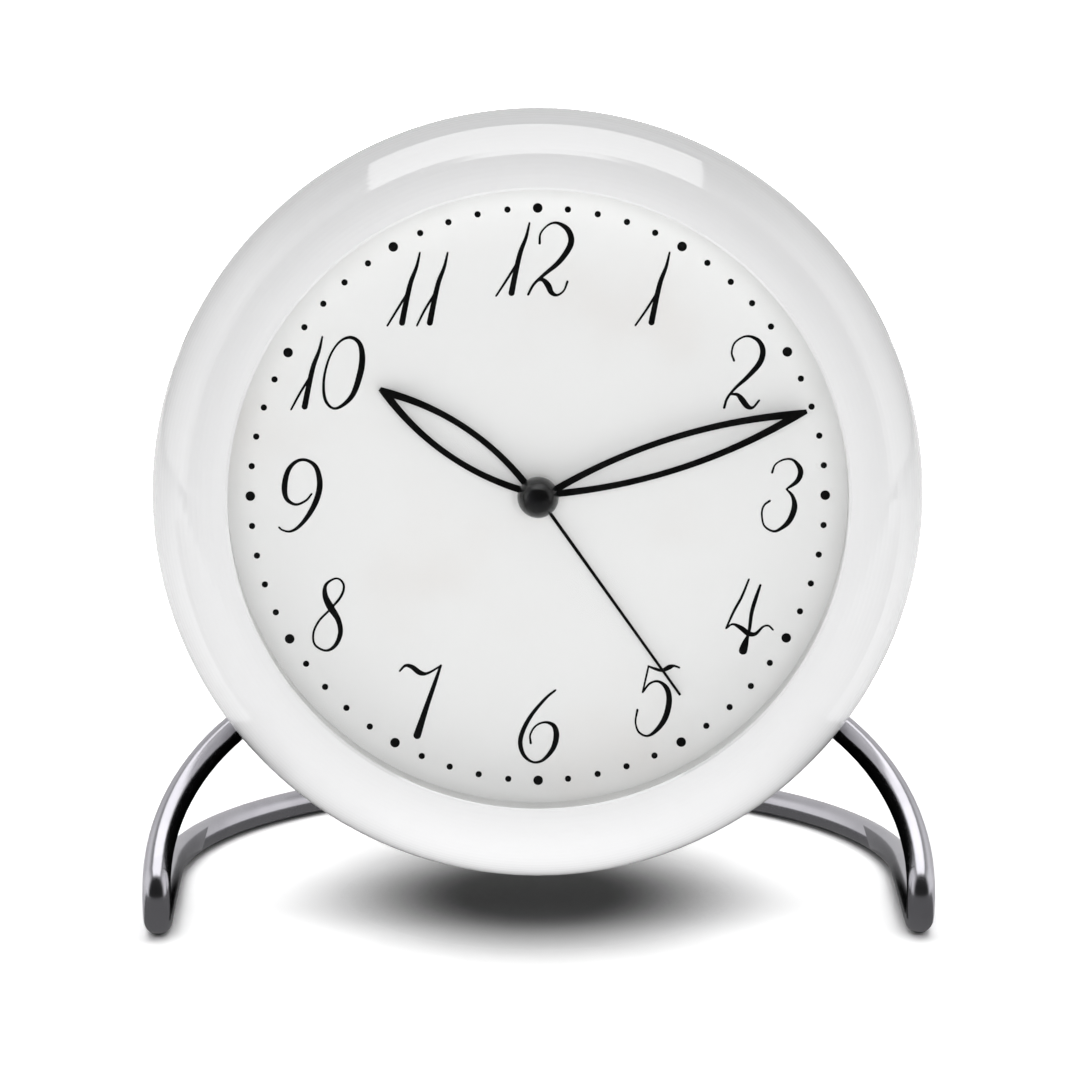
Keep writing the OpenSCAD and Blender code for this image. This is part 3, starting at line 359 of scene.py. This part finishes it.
class CLOCK_OT_case(bpy.types.Operator):
    """Lacquered front ring and housing, plain plastic behind, steel screws"""

    bl_idname = "clock.case"
    bl_label = "Case"

    def execute(self, context):
        s = context.scene.clock_case
        white, pale, red = tuple(s.lacquer), tuple(s.plastic), tuple(s.slide)
        lacquer = finish("White Lacquer", white, shaded(white, 0.985), scale=25, grain=260,
                         smooth=0.07, rough=0.11, bump=0.012, Coat_Weight=1.0, Coat_Roughness=0.04,
                         Coat_IOR=1.7)
        plain = finish("Moulded Plastic", pale, shaded(pale, 0.96), scale=120, grain=2600,
                       smooth=0.34, rough=0.5, bump=0.12)
        grip = finish("Knob Plastic", pale, shaded(pale, 0.95), scale=150, grain=1800, smooth=0.25,
                      rough=0.36, bump=0.05)
        seal = finish("Seal", (0.42, 0.42, 0.44), (0.36, 0.36, 0.38), scale=300, grain=2500,
                      smooth=0.4, rough=0.6)
        screw = finish("Zinc Screws", (0.55, 0.55, 0.57), (0.42, 0.42, 0.45), scale=900,
                       grain=3000, smooth=0.2, rough=0.42, bump=0.08, Metallic=1.0)
        slide = finish("Slide Plastic", red, shaded(red, 0.85), scale=400, grain=2500, smooth=0.3,
                       rough=0.45, bump=0.05)
        dress(lacquer, "bezel_ring", "rear_housing", "snooze_button")
        dress(plain, "rear_cover", "battery_door", "spacer_ring")
        dress(grip, "time_set_knob", "alarm_set_knob")
        dress(seal, "crystal_gasket")
        dress(screw, "cover_screws", "stand_grub_screws")
        dress(slide, "alarm_slide")
        return {"FINISHED"}


class CLOCK_OT_stand(bpy.types.Operator):
    """Polished chrome rod"""

    bl_idname = "clock.stand"
    bl_label = "Stand"

    def execute(self, context):
        chrome = finish("Polished Chrome", (0.58, 0.57, 0.61), (0.52, 0.51, 0.55), scale=90,
                        grain=700, smooth=0.17, rough=0.24, bump=0.02, Metallic=1.0)
        dress(chrome, "stand_rod")
        return {"FINISHED"}


class CLOCK_OT_crystal(bpy.types.Operator):
    """Clear crystal that lets the light through to the dial"""

    bl_idname = "clock.crystal"
    bl_label = "Crystal"

    def execute(self, context):
        material, tree, bsdf = node_material("Clear Crystal")
        where = add_node(tree, "TexCoord")["Object"]
        grains = {"Position": where, "Scale": 350, "Smooth": 0.0, "Rough": 0.025}
        skin = add_node(tree, "Group", grains, node_tree=SKIN)
        set_inputs(tree, bsdf, {"Base Color": (0.985, 0.99, 0.99, 1), "Transmission Weight": 1.0,
                                "IOR": 1.46, "Roughness": skin["Roughness"]})
        path = add_node(tree, "LightPath")
        either = calc(tree, "MAXIMUM", path["Is Shadow Ray"], path["Is Diffuse Ray"])
        clear = add_node(tree, "BsdfTransparent")["BSDF"]
        ways = {"Fac": either, 1: bsdf.outputs["BSDF"], 2: clear}
        surface = add_node(tree, "MixShader", ways)["Shader"]
        set_inputs(tree, tree.nodes["Material Output"], {"Surface": surface})
        dress(material, "crystal")
        return {"FINISHED"}


# Dial

# Pen strokes of the numerals in hundredths of their height, x to the right and y down from the
# middle, each point with the pen's width
FIRST_STEM = [(0, -49, 2.7), (-4.5, -30, 4.5), (-12.4, -9, 6.4), (-18.8, 18.2, 7.3),
              (-24.2, 45, 8.2)]
FIRST_HAIR = [(-15.2, 2.4, 3.3), (-30.3, 26.7, 3.3), (0, 48.8, 2.7)]


def one(x, foot):
    """Strokes of a 1 with its top at x and the foot of its hairline at x = foot."""
    stem = [(x + a, b, w) for a, b, w in FIRST_STEM]
    hair = [(x + a, b, w) for a, b, w in FIRST_HAIR[:-1]] + [(foot, *FIRST_HAIR[-1][1:])]
    return [stem, hair]


NUMERALS = {
    1: one(22.1, -23.6),
    2: [
        [(-15.2, -16.4, 3.3), (-18.2, -27.3, 2.7), (-13.6, -40.9, 2.7), (1.5, -49.1, 3.0),
         (16.7, -43.9, 5.5), (23.6, -30.3, 7.6), (19.7, -13.6, 7.6), (4.5, 4.5, 6.1),
         (-13.6, 21.2, 3.9), (-24.2, 34.8, 3.6), (-28.2, 47.3, 3.6)],
        [(-19.7, 29.1, 2.7), (-10.6, 29.7, 4.8), (-4.2, 36.4, 7.9), (3.0, 45.5, 7.0),
         (10.6, 47.0, 3.6), (18.8, 37.6, 3.0)],
    ],
    3: [
        [(-12.1, -30.9, 3.3), (-7.6, -41.8, 2.4), (4.5, -48.5, 2.7), (16.7, -47.3, 3.6),
         (26.1, -33.9, 7.3), (22.1, -19.7, 6.4), (7.3, -8.2, 2.4)],
        [(7.3, -8.2, 2.4), (15.6, 1.5, 4.8), (18.2, 16.7, 7.9), (11.2, 34.8, 7.3),
         (-0.6, 45.5, 4.5), (-10.6, 48.8, 3.3), (-22.7, 40.9, 2.7), (-25.8, 24.2, 2.7),
         (-22.7, 13.6, 2.7), (-15.2, 7.6, 3.3)],
    ],
    4: [
        [(0.6, -47.9, 2.7), (-9.1, -24.2, 3.6), (-19.7, -4.5, 3.6), (-30.0, 18.5, 2.7)],
        [(-30.0, 18.5, 2.7), (-21.2, 13.0, 3.0), (-10.6, 17.6, 6.1), (0, 25.5, 7.3),
         (9.7, 26.1, 4.8), (19.7, 16.7, 3.0), (27.3, 15.2, 2.7), (33.3, 20.6, 2.7)],
        [(16.1, -40.0, 3.3), (9.7, -21.2, 5.2), (4.5, -3.0, 5.2), (1.8, 18.2, 4.5),
         (-0.6, 28.8, 4.2), (-4.2, 39.4, 9.1), (-7.0, 48.8, 11.5)],
    ],
    5: [
        [(-10.0, -47.6, 2.4), (-1.5, -44.2, 3.9), (8.5, -41.8, 4.5), (18.2, -46.1, 6.7),
         (24.8, -47.9, 3.6), (31.8, -45.5, 2.7)],
        [(-9.7, -47.6, 2.7), (-13.6, -30.3, 2.7), (-17.6, -12.1, 2.7)],
        [(-17.6, -12.1, 2.7), (-7.6, -24.2, 3.0), (4.5, -26.4, 3.6), (15.2, -16.7, 6.7),
         (18.2, 0, 7.9), (13.6, 21.2, 7.9), (3.0, 37.9, 6.1), (-10.6, 47.6, 3.3),
         (-22.7, 42.4, 3.0), (-27.3, 28.8, 2.4), (-24.8, 12.1, 3.3)],
    ],
    6: [
        [(23.3, -50, 3.0), (10.6, -39.4, 3.9), (-7.6, -18.2, 5.2), (-19.7, 3.0, 6.1),
         (-24.2, 21.2, 6.4), (-19.7, 37.9, 5.2), (-7.6, 47.9, 3.3), (6.1, 45.5, 4.2),
         (19.7, 30.3, 6.7), (24.8, 12.1, 7.9), (21.2, -1.5, 6.1), (9.7, -6.4, 3.3),
         (-3.0, -1.5, 2.7), (-10.6, 10.6, 2.7), (-10, 22.1, 3.3)],
    ],
    7: [
        [(-28.8, -38.8, 2.7), (-21.2, -46.1, 3.9), (-12.1, -44.2, 6.4), (-1.5, -36.4, 7.0),
         (9.1, -35.8, 3.6), (27.3, -46.1, 2.7)],
        [(26.7, -46.1, 3.3), (18.2, -21.2, 5.5), (7.6, 9.1, 7.0), (-5.5, 49.1, 10.3)],
    ],
    8: [
        [(9.7, -50, 2.7), (-2.4, -41.8, 4.2), (-3.6, -27.3, 7.3), (3.0, -12.1, 9.7),
         (13.9, 6.1, 7.3), (16.7, 24.2, 6.7), (9.7, 40.9, 5.2), (-3.0, 47.9, 3.3),
         (-17.6, 40.0, 3.0), (-19.7, 24.2, 3.0), (-12.1, 7.6, 3.0), (2.4, -7.6, 3.0),
         (16.7, -24.2, 3.6), (21.8, -37.9, 3.3), (18.2, -47.3, 3.0), (9.7, -50, 2.7)],
    ],
    9: [
        [(15.2, -2.7, 2.7), (7.6, 6.1, 3.0), (-6.1, 11.5, 3.6), (-18.2, 3.9, 5.8),
         (-21.2, -12.1, 7.9), (-16.7, -33.3, 6.7), (-6.1, -46.1, 4.8), (7.6, -48.8, 4.2),
         (21.2, -39.4, 6.1), (26.4, -18.2, 7.9), (22.7, 3.0, 7.9), (12.1, 24.2, 6.7),
         (-1.5, 40.9, 4.8), (-13.6, 47.9, 3.3), (-24.2, 46.1, 2.7), (-28.8, 42.4, 2.7)],
    ],
    10: one(-10.0, -52.4) + [
        [(27.9, -48.2, 4.5), (40.0, -40.0, 6.1), (43.6, -21.2, 8.2), (40.0, 3.0, 8.5),
         (28.8, 31.8, 6.7), (7.6, 47.6, 3.6), (-6.1, 36.4, 4.2), (-8.2, 9.1, 3.6),
         (-0.6, -21.2, 3.0), (12.7, -41.8, 3.0), (27.9, -48.2, 4.5)],
    ],
    11: one(1.5, -42.4) + one(38.8, -2.7),
    12: one(-8.2, -53.0) + [
        [(5.5, -21.8, 3.6), (6.7, -34.8, 2.7), (16.7, -46.1, 2.7), (28.8, -49.1, 3.9),
         (42.4, -40.9, 7.3), (47.9, -27.3, 8.2), (43.9, -13.6, 7.9), (30.3, 4.5, 6.7),
         (12.1, 19.7, 4.8), (-2.4, 33.3, 3.6), (-10, 47.0, 3.3)],
        [(1.8, 28.5, 2.7), (9.7, 27.3, 5.5), (16.7, 34.8, 8.2), (21.2, 44.2, 6.7),
         (28.8, 47.9, 3.6), (37.9, 41.8, 2.7), (42.7, 29.7, 3.3)],
    ],
}
# Middles of the numerals in millimetres from the hands' axis, to the right and up
NUMERAL_PLACES = {
    1: (16.35, 29.4), 2: (29.45, 17.5), 3: (34.6, 0), 4: (30.0, -17.1), 5: (16.8, -29.5),
    6: (0, -33.2), 7: (-16.7, -29.2), 8: (-29.95, -17.1), 9: (-33.8, 0), 10: (-29.5, 17.5),
    11: (-16.85, 29.4), 12: (-0.3, 33.6),
}

DOT_RINGS = np.array([0.02, 0.6, 1.0])  # rings of a dot's points, as shares of its radius
DOT_SIDES = 24
MINUTES, HOURS = 60, 12
MILLIMETRE = 0.001


class CLOCK_OT_dial(bpy.types.Operator):
    """Dial with its numerals and its sixty dots"""

    bl_idname = "clock.dial"
    bl_label = "Dial"

    def execute(self, context):
        s = context.scene.clock_dial
        # The dial's warm clouds are a painted reflection
        paper = finish("Dial Enamel", tuple(s.paper), tuple(s.painted_light), scale=38, low=0.5, high=0.85,
                       grain=1500, smooth=0.42, rough=0.55, bump=0.02)
        ink = finish("Printed Ink", tuple(s.ink), (0.004, 0.004, 0.004), scale=500, grain=3000,
                     smooth=0.5, rough=0.65, Specular_IOR_Level=0.1)
        dress(paper, "dial_plate")
        unit = s.numeral_height / 100
        parts = []
        for number, strokes in NUMERALS.items():
            x, y = (MILLIMETRE * v for v in NUMERAL_PLACES[number])
            for i, stroke in enumerate(strokes):
                p = pen_stroke(stroke) * unit
                z = DIAL_FACE + PRINT_LIFT + STROKE_LIFT * i
                parts.append((place(x + p[..., 0], y - p[..., 1], z), grid_faces(len(p), 2)))
        new_piece("dial_numerals", parts, "clock", ink)
        dots = [self.dot(s, minute) for minute in range(MINUTES)]
        new_piece("minute_dots", dots, "clock", ink)
        return {"FINISHED"}

    @staticmethod
    def dot(s, minute):
        """Round dot: rings of points from its middle out, at a minute of the circle."""
        a = 2 * math.pi * minute / MINUTES
        radius = (s.minute_dot if minute % (MINUTES // HOURS) else s.hour_dot) / 2
        turn = np.linspace(0, 2 * math.pi, DOT_SIDES, endpoint=False)[None]
        ring = DOT_RINGS[:, None] * radius
        x = s.dot_circle * math.sin(a) + ring * np.cos(turn)
        y = s.dot_circle * math.cos(a) + ring * np.sin(turn)
        faces = grid_faces(len(DOT_RINGS), DOT_SIDES, close=True)
        return place(x, y, DIAL_FACE + PRINT_LIFT), faces


class CLOCK_OT_hands(bpy.types.Operator):
    """Black hands and their round cap"""

    bl_idname = "clock.hands"
    bl_label = "Hands"

    def execute(self, context):
        ink = tuple(context.scene.clock_dial.ink)
        black = finish("Black Enamel", ink, (0.004, 0.004, 0.004), scale=300, grain=1500,
                       smooth=0.28, rough=0.4, bump=0.02, Specular_IOR_Level=0.12)
        cap = finish("Cap Enamel", ink, (0.006, 0.006, 0.007), scale=300, grain=1500, smooth=0.06,
                     rough=0.12, bump=0.005, Specular_IOR_Level=0.6)
        dress(black, "minute_hand", "hour_hand", "alarm_hand")
        dress(cap, "hand_cap")
        return {"FINISHED"}


# Movement


class CLOCK_OT_movement(bpy.types.Operator):
    """Finishes of the wheels, plates, coil, circuit, cell and switches in the case"""

    bl_idname = "clock.movement"
    bl_label = "Movement"

    def execute(self, context):
        brass = finish("Wheel Brass", (0.78, 0.57, 0.24), (0.7, 0.48, 0.18), scale=500, grain=2500,
                       smooth=0.18, rough=0.34, bump=0.05, Metallic=1.0)
        steel = finish("Turned Steel", (0.6, 0.6, 0.62), (0.5, 0.5, 0.53), scale=600, grain=2500,
                       smooth=0.16, rough=0.3, bump=0.04, Metallic=1.0)
        black = finish("Movement Plastic", (0.03, 0.03, 0.032), (0.045, 0.045, 0.047), scale=200,
                       grain=2500, smooth=0.35, rough=0.5, bump=0.08)
        natural = finish("Natural Plastic", (0.82, 0.79, 0.7), (0.76, 0.73, 0.63), scale=200,
                         grain=2500, smooth=0.3, rough=0.45, bump=0.05)
        copper = finish("Enamelled Wire", (0.6, 0.2, 0.07), (0.45, 0.13, 0.04), scale=900,
                        grain=900, smooth=0.2, rough=0.4, bump=0.6, stretch=(1, 1, 12),
                        Metallic=0.8)
        board = finish("Circuit Lacquer", (0.015, 0.12, 0.045), (0.03, 0.2, 0.08), scale=700,
                       low=0.48, high=0.52, grain=2000, smooth=0.12, rough=0.3, bump=0.05)
        resin = finish("Black Resin", (0.02, 0.02, 0.02), (0.03, 0.03, 0.03), scale=600,
                       grain=3000, smooth=0.4, rough=0.6, bump=0.06)
        sleeve = finish("Cell Sleeve", (0.16, 0.26, 0.42), (0.2, 0.31, 0.48), scale=60, grain=1200,
                        smooth=0.14, rough=0.24, bump=0.02, Metallic=0.5)
        dress(brass, "hour_wheel", "motion_wheel", "alarm_wheel", "centre_wheel", "third_wheel",
              "fourth_wheel", "fifth_wheel")
        dress(steel, "minute_arbor", "time_set_shaft", "alarm_set_shaft", "rotor", "stator",
              "quartz_can", "battery_plus_contact", "battery_minus_spring", "alarm_switch_body",
              "snooze_spring")
        dress(black, "movement_front", "movement_back")
        dress(natural, "middle_plate", "train_bridge", "coil_bobbin")
        dress(copper, "coil_winding")
        dress(board, "circuit_board", "snooze_board")
        dress(resin, "circuit_chip", "buzzer", "snooze_switch")
        dress(sleeve, "battery")
        return {"FINISHED"}


class CLOCK_OT_snooze_coil(bpy.types.Operator):
    """Spring under the snooze button, as a copy of the CAD spring, which is hidden"""

    bl_idname = "clock.snooze_coil"
    bl_label = "Snooze Coil"

    def execute(self, context):
        coil = add_object("snooze_coil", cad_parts["snooze_spring"].data.copy())
        foot, top = (tuple(CENTRE + height * UP) for height in reach("snooze_spring", UP))
        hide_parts("snooze_spring")
        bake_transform(coil)
        return {"FINISHED"}


# Back

KNOB_SIDE = 0.0192  # from the middle to either setting knob
ARROW_RADIUS = 0.0087
ARROW_TURN = (205, 335)  # degrees from the clock's right, upwards
ARROW_POINTS = 40
ARROW_PEN = 0.00045
HEAD_PEN = (0.0017, 0.0001)  # the arrow's head at its foot and at its tip
HEAD_WAY = (0.0011, 0.0015)
MARK_PEN = 0.0004
MARK_STEPS = 3
# Marks beside the alarm slide, a bar at one end and a cross at the other, from point to point
SLIDE_MARKS = (
    ((-0.0062, -0.0085), (-0.0062, -0.0115)),
    ((0.0062, -0.0085), (0.0062, -0.0115)),
    ((0.0053, -0.01), (0.0071, -0.01)),
)


class CLOCK_OT_back_marks(bpy.types.Operator):
    """Arrows round the setting knobs and marks beside the alarm slide"""

    bl_idname = "clock.back_marks"
    bl_label = "Marks on the Back"

    def execute(self, context):
        grey = finish("Mark Print", (0.16, 0.16, 0.17), (0.2, 0.2, 0.21), scale=500, grain=3000,
                      smooth=0.4, rough=0.6)
        turn = np.radians(np.linspace(*ARROW_TURN, ARROW_POINTS))
        arc = [(ARROW_RADIUS * math.cos(t), ARROW_RADIUS * math.sin(t), ARROW_PEN) for t in turn]
        x, y, _ = arc[-1]
        head = [(x, y, HEAD_PEN[0]), (x + HEAD_WAY[0], y + HEAD_WAY[1], HEAD_PEN[1])]
        z = COVER_FACE - PRINT_LIFT
        parts = []
        for side in (-KNOB_SIDE, KNOB_SIDE):
            parts += [self.mark(arc, side, z), self.mark(head, side, z, cap=0)]
        for points in SLIDE_MARKS:
            parts.append(self.mark([(*point, MARK_PEN) for point in points], 0, z - STROKE_LIFT))
        new_piece("back_marks", parts, "clock", grey)
        return {"FINISHED"}

    @staticmethod
    def mark(stroke, side, z, cap=0.5):
        """Pen stroke on the cover, seen from behind, shifted to the side."""
        p = pen_stroke(stroke, MARK_STEPS, cap)
        return place(side + p[..., 0], p[..., 1], z), grid_faces(len(p), 2)[:, ::-1]


# Stage

# Lamps that gloss doesn't show: name, place, aim, and the width and length of the lit face
LAMPS = (
    ("softbox", (0, 0.1, 1.12), (0, 0.1, 0), (1.2, 1.05)),
    ("key", (0, -1.5, 0.32), (0, 0, 0.06), (1.2, 0.6)),
    ("rear", (0, 1.5, 0.45), (0, 0, 0.06), (1.2, 0.6)),
    ("bounce", (0, -0.31, 0.001), (0, -0.31, 1), (1.2, 0.66)),
)
# Cards that only gloss and glass show: name, a corner, the way from its near end to its far end,
# the way across, and the settings with the strength of the two ends
CARDS = (
    ("gloss_card", (-0.6, -0.655, 1.12), (1.2, 0, 0), (0, 1.05, 0), "gloss_level", "gloss_level"),
    ("far_card", (-2, -4.5, 0.0008), (4, 0, 0), (0, 4.2, 0), "front_level", "front_level"),
    ("near_card", (-0.12, -0.3, 0.0008), (0.24, 0, 0), (0, 0.262, 0), "card_level", "card_level"),
    ("inner_card", (-0.054, -0.038, 0.0008), (0, 0.08, 0), (0.108, 0, 0), "card_level",
     "card_level"),
)
# Those on the right, each with another like it mirrored to the left
SIDE_CARDS = (
    ("side_card", (0.12, -0.3, 0.0008), (0.4, 0, 0), (0, 0.262, 0), "card_level",
     "side_card_level"),
    ("arm_card", (0.05, -0.04, 0.001), (0, 0.026, 0), (-0.009, 0, 0.029), "arm_card_level",
     "arm_card_level"),
    ("hoop_card", (0.05, -0.014, 0.001), (0, 0.022, 0), (-0.009, 0, 0.029), "arm_card_level",
     "hoop_card_level"),
)

FLOOR_HALF = 4.0  # half of the floor's width
FLOOR_LINES = 9  # lines of points each way
# Painted shade: the floor's colour darkens where pieces stand near it and in a soft oval under the
# case
NEAR_SAMPLES = 16
NEAR_REACH = 0.05  # pieces nearer than this to the floor darken it
NEAR_OPEN = 0.6  # with this share of open sky the floor isn't darkened
NEAR_DARK = 0.2  # share left where no sky is open
OVAL_STRETCH = (1, 0.9, 0)  # the soft oval of painted shade under the case, which is moved towards the front
OVAL_SHIFT = (0, 0.016, 0)
OVAL_INNER, OVAL_OUTER = 0.01, 0.046  # where it begins to fade and where it ends
GLOSS_DIM = 0.55  # in gloss the floor's colour is less by this share
GLOSS_GLOW = 0.3  # share of the floor's glow in gloss
GLOW_INNER, GLOW_OUTER = 0.06, 0.2  # where the floor begins to glow, and where it glows fully

# Where the room darkens upwards and towards the back: height and depth of a way of length one
HIGH_START, HIGH_END = 0.5, 0.9
BACK_START, BACK_END = 0.2, 0.8

# Camera fitted to the photo, in millimetres and in pixels of its frame
LENS, SENSOR, FRAME = 186.8, 36, 1080
PIXELS_ABOVE, PIXELS_LEFT = 46.2, 2.25  # the case's middle from the middle of the frame
NEAREST = 0.01  # the camera sees nothing nearer than this


def turned(way):
    """Rotation of a lamp or camera that looks along a way with its top up."""
    return way.to_track_quat("-Z", "Y").to_matrix().to_4x4()


class CLOCK_OT_stage(bpy.types.Operator):
    """White floor, light from all round, lamps, cards for the gloss, and the camera"""

    bl_idname = "clock.stage"
    bl_label = "Stage"

    def execute(self, context):
        s = context.scene.clock_stage
        self.floor(s)
        self.world(context, s)
        for name, spot, aim, size in LAMPS:
            self.lamp(name, spot, aim, size, getattr(s, name + "_power"))
        grey = self.card_grey()
        for name, corner, side, rise, *levels in CARDS:
            self.card(name, corner, side, rise, [getattr(s, level) for level in levels], grey)
        for sign in (-1, 1):
            for name, *ways, near, far in SIDE_CARDS:
                corner, side, rise = ((sign * x, y, z) for x, y, z in ways)
                self.card(name, corner, side, rise, (getattr(s, near), getattr(s, far)), grey)
        self.camera(context, s)
        context.scene.view_settings.view_transform = "Standard"
        return {"FINISHED"}

    def floor(self, s):
        """Square floor, white to the camera, with a soft shade painted in its colour under the
        clock.
        """
        lines = np.linspace(-FLOOR_HALF, FLOOR_HALF, FLOOR_LINES)
        x, y = np.meshgrid(lines, lines, indexing="ij")
        points = np.stack([x, y, 0 * x], -1).reshape(-1, 3)
        mesh = bpy.data.meshes.new("floor")
        mesh.from_pydata(points.tolist(), [], grid_faces(FLOOR_LINES, FLOOR_LINES).tolist())
        floor = add_object("floor", mesh)
        material, tree, bsdf = node_material("Floor")
        path = add_node(tree, "LightPath")
        gloss = path["Is Glossy Ray"]
        direct = calc(tree, "MAXIMUM", path["Is Camera Ray"], path["Is Transmission Ray"])
        where = add_node(tree, "NewGeometry")["Position"]
        # What is seen of the floor: painted shade near things, times the painted oval shade, and
        # dimmed in gloss
        sky = add_node(tree, "AmbientOcclusion", {"Distance": NEAR_REACH},
                       samples=NEAR_SAMPLES)["AO"]
        near = soft_range(tree, sky, 0, NEAR_OPEN, NEAR_DARK)
        oval = add_node(tree, "VectorMath", {0: where, 1: OVAL_STRETCH, 2: OVAL_SHIFT},
                        operation="MULTIPLY_ADD")["Vector"]
        radius = add_node(tree, "VectorMath", {0: oval}, operation="LENGTH")["Value"]
        painted_light = soft_range(tree, radius, OVAL_INNER, OVAL_OUTER, s.floor_shade, s.floor_seen)
        dimmed = calc(tree, "MULTIPLY_ADD", gloss, -GLOSS_DIM, 1.0)
        tone = calc(tree, "MULTIPLY", calc(tree, "MULTIPLY", near, painted_light), dimmed)
        tones = {"Factor": calc(tree, "MAXIMUM", direct, gloss), "A": (*s.floor, 1), "B": tone}
        colour = add_node(tree, "Mix", tones, data_type="RGBA", clamp_result=False)["Result"]
        # Its glow away from the clock, which turns it white like the backdrop
        far = add_node(tree, "VectorMath", {0: where}, operation="LENGTH")["Value"]
        share = calc(tree, "MAXIMUM", direct, calc(tree, "MULTIPLY", gloss, GLOSS_GLOW))
        glow = calc(tree, "MULTIPLY", soft_range(tree, far, GLOW_INNER, GLOW_OUTER), share)
        set_inputs(tree, bsdf, {"Roughness": 0.9, "Specular IOR Level": 0.0, "Base Color": colour,
                                "Emission Color": WHITE, "Emission Strength": glow})
        mesh.materials.append(material)

    def world(self, context, s):
        """White to the camera, pale light from all round, and a room that gloss and glass show."""
        world = bpy.data.worlds.new("studio")
        context.scene.world = world
        world.use_nodes = True
        tree = world.node_tree
        path = add_node(tree, "LightPath")
        way = add_node(tree, "SeparateXYZ", {"Vector": add_node(tree, "TexCoord")["Generated"]})
        front = soft_range(tree, way["Y"], -s.front_end, -s.front_start, s.front_level,
                           s.side_level)
        above = soft_range(tree, way["Z"], HIGH_START, HIGH_END, 1.0, s.above_level)
        behind = soft_range(tree, way["Y"], BACK_START, BACK_END)
        room = {"Factor": behind, "A": calc(tree, "MULTIPLY", front, above), "B": s.back_level}
        gloss = calc(tree, "MAXIMUM", path["Is Glossy Ray"], path["Is Transmission Ray"])
        light = {"Factor": gloss, "A": s.sky, "B": add_node(tree, "Mix", room)["Result"]}
        level = add_node(tree, "Mix", light)["Result"]
        white = {"Factor": path["Is Camera Ray"], "A": level, "B": 1.0}
        strength = add_node(tree, "Mix", white)["Result"]
        set_inputs(tree, tree.nodes["Background"], {"Color": WHITE, "Strength": strength})

    def card_grey(self):
        """Black material that glows as strongly as the card's own attribute says."""
        material, tree, bsdf = node_material("Card Grey")
        glow = add_node(tree, "Attribute", attribute_name="glow")["Fac"]
        set_inputs(tree, bsdf, {"Base Color": BLACK, "Specular IOR Level": 0.0,
                                "Emission Color": WHITE, "Emission Strength": glow})
        return material

    def card(self, name, corner, side, rise, levels, grey):
        """Flat card that only gloss and glass show, with a level at its near and its far end."""
        corner, side, rise = (np.array(v) for v in (corner, side, rise))
        points = (corner, corner + side, corner + side + rise, corner + rise)
        mesh = bpy.data.meshes.new(name)
        mesh.from_pydata([tuple(v) for v in points], [], [(0, 1, 2, 3)])
        near, far = levels
        glow = mesh.attributes.new("glow", "FLOAT", "POINT")
        glow.data.foreach_set("value", (near, far, far, near))
        mesh.materials.append(grey)
        card = add_object(name, mesh)
        for kind in ("camera", "diffuse", "shadow", "volume_scatter"):
            setattr(card, "visible_" + kind, False)

    def lamp(self, name, spot, aim, size, power):
        """Rectangular area lamp at a spot, turned to its aim, and unseen in gloss."""
        light = bpy.data.lights.new(name, "AREA")
        light.shape = "RECTANGLE"
        light.size, light.size_y = size
        light.energy = power
        lamp = add_object(name, light)
        for kind in ("camera", "glossy", "transmission"):
            setattr(lamp, "visible_" + kind, False)
        lamp.matrix_world = Matrix.Translation(spot) @ turned(Vector(aim) - Vector(spot))

    def camera(self, context, s):
        """Camera round the case's middle, turned so that this sits where the photo has it."""
        lens = bpy.data.cameras.new("camera")
        lens.sensor_width = SENSOR
        lens.lens = LENS
        lens.clip_start = NEAREST
        camera = add_object("camera", lens)
        e, a = s.elevation, s.azimuth
        middle = Vector(CENTRE)
        way = Vector((-math.sin(a) * math.cos(e), -math.cos(a) * math.cos(e), math.sin(e)))
        spot = middle + s.distance * way
        focal = LENS / SENSOR * FRAME
        down = Matrix.Rotation(-math.atan(PIXELS_ABOVE / focal), 4, "X")
        side = Matrix.Rotation(-math.atan(PIXELS_LEFT / focal), 4, "Y")
        camera.matrix_world = Matrix.Translation(spot) @ turned(middle - spot) @ down @ side
        context.scene.camera = camera


class CLOCK_PT_panel(bpy.types.Panel):
    """Settings and operators of the clock in the sidebar"""

    bl_label = "Table Clock"
    bl_idname = "CLOCK_PT_panel"
    bl_space_type = "VIEW_3D"
    bl_region_type = "UI"
    bl_category = "Clock"

    def draw(self, context):
        scene = context.scene
        for group in (scene.clock_case, scene.clock_dial, scene.clock_stage):
            box = self.layout.box()
            for name in group.bl_rna.properties.keys():
                if name not in ("rna_type", "name"):
                    box.prop(group, name)
        for operator in OPERATORS:
            self.layout.operator(operator.bl_idname)


SETTINGS = {
    "clock_case": ClockCaseSettings,
    "clock_dial": ClockDialSettings,
    "clock_stage": ClockStageSettings,
}
OPERATORS = (CLOCK_OT_case, CLOCK_OT_stand, CLOCK_OT_crystal, CLOCK_OT_dial, CLOCK_OT_hands,
             CLOCK_OT_movement, CLOCK_OT_snooze_coil, CLOCK_OT_back_marks, CLOCK_OT_stage)


def register():
    for cls in (*SETTINGS.values(), *OPERATORS, CLOCK_PT_panel):
        bpy.utils.register_class(cls)
    for name, cls in SETTINGS.items():
        setattr(bpy.types.Scene, name, bpy.props.PointerProperty(type=cls))


def unregister():
    for name in SETTINGS:
        delattr(bpy.types.Scene, name)
    for cls in (CLOCK_PT_panel, *reversed(OPERATORS), *SETTINGS.values()):
        bpy.utils.unregister_class(cls)


def main():
    register()
    bpy.ops.clock.case()
    bpy.ops.clock.stand()
    bpy.ops.clock.crystal()
    bpy.ops.clock.dial()
    bpy.ops.clock.hands()
    bpy.ops.clock.movement()
    bpy.ops.clock.snooze_coil()
    bpy.ops.clock.back_marks()
    bpy.ops.clock.stage()


if __name__ == "__main__":
    main()
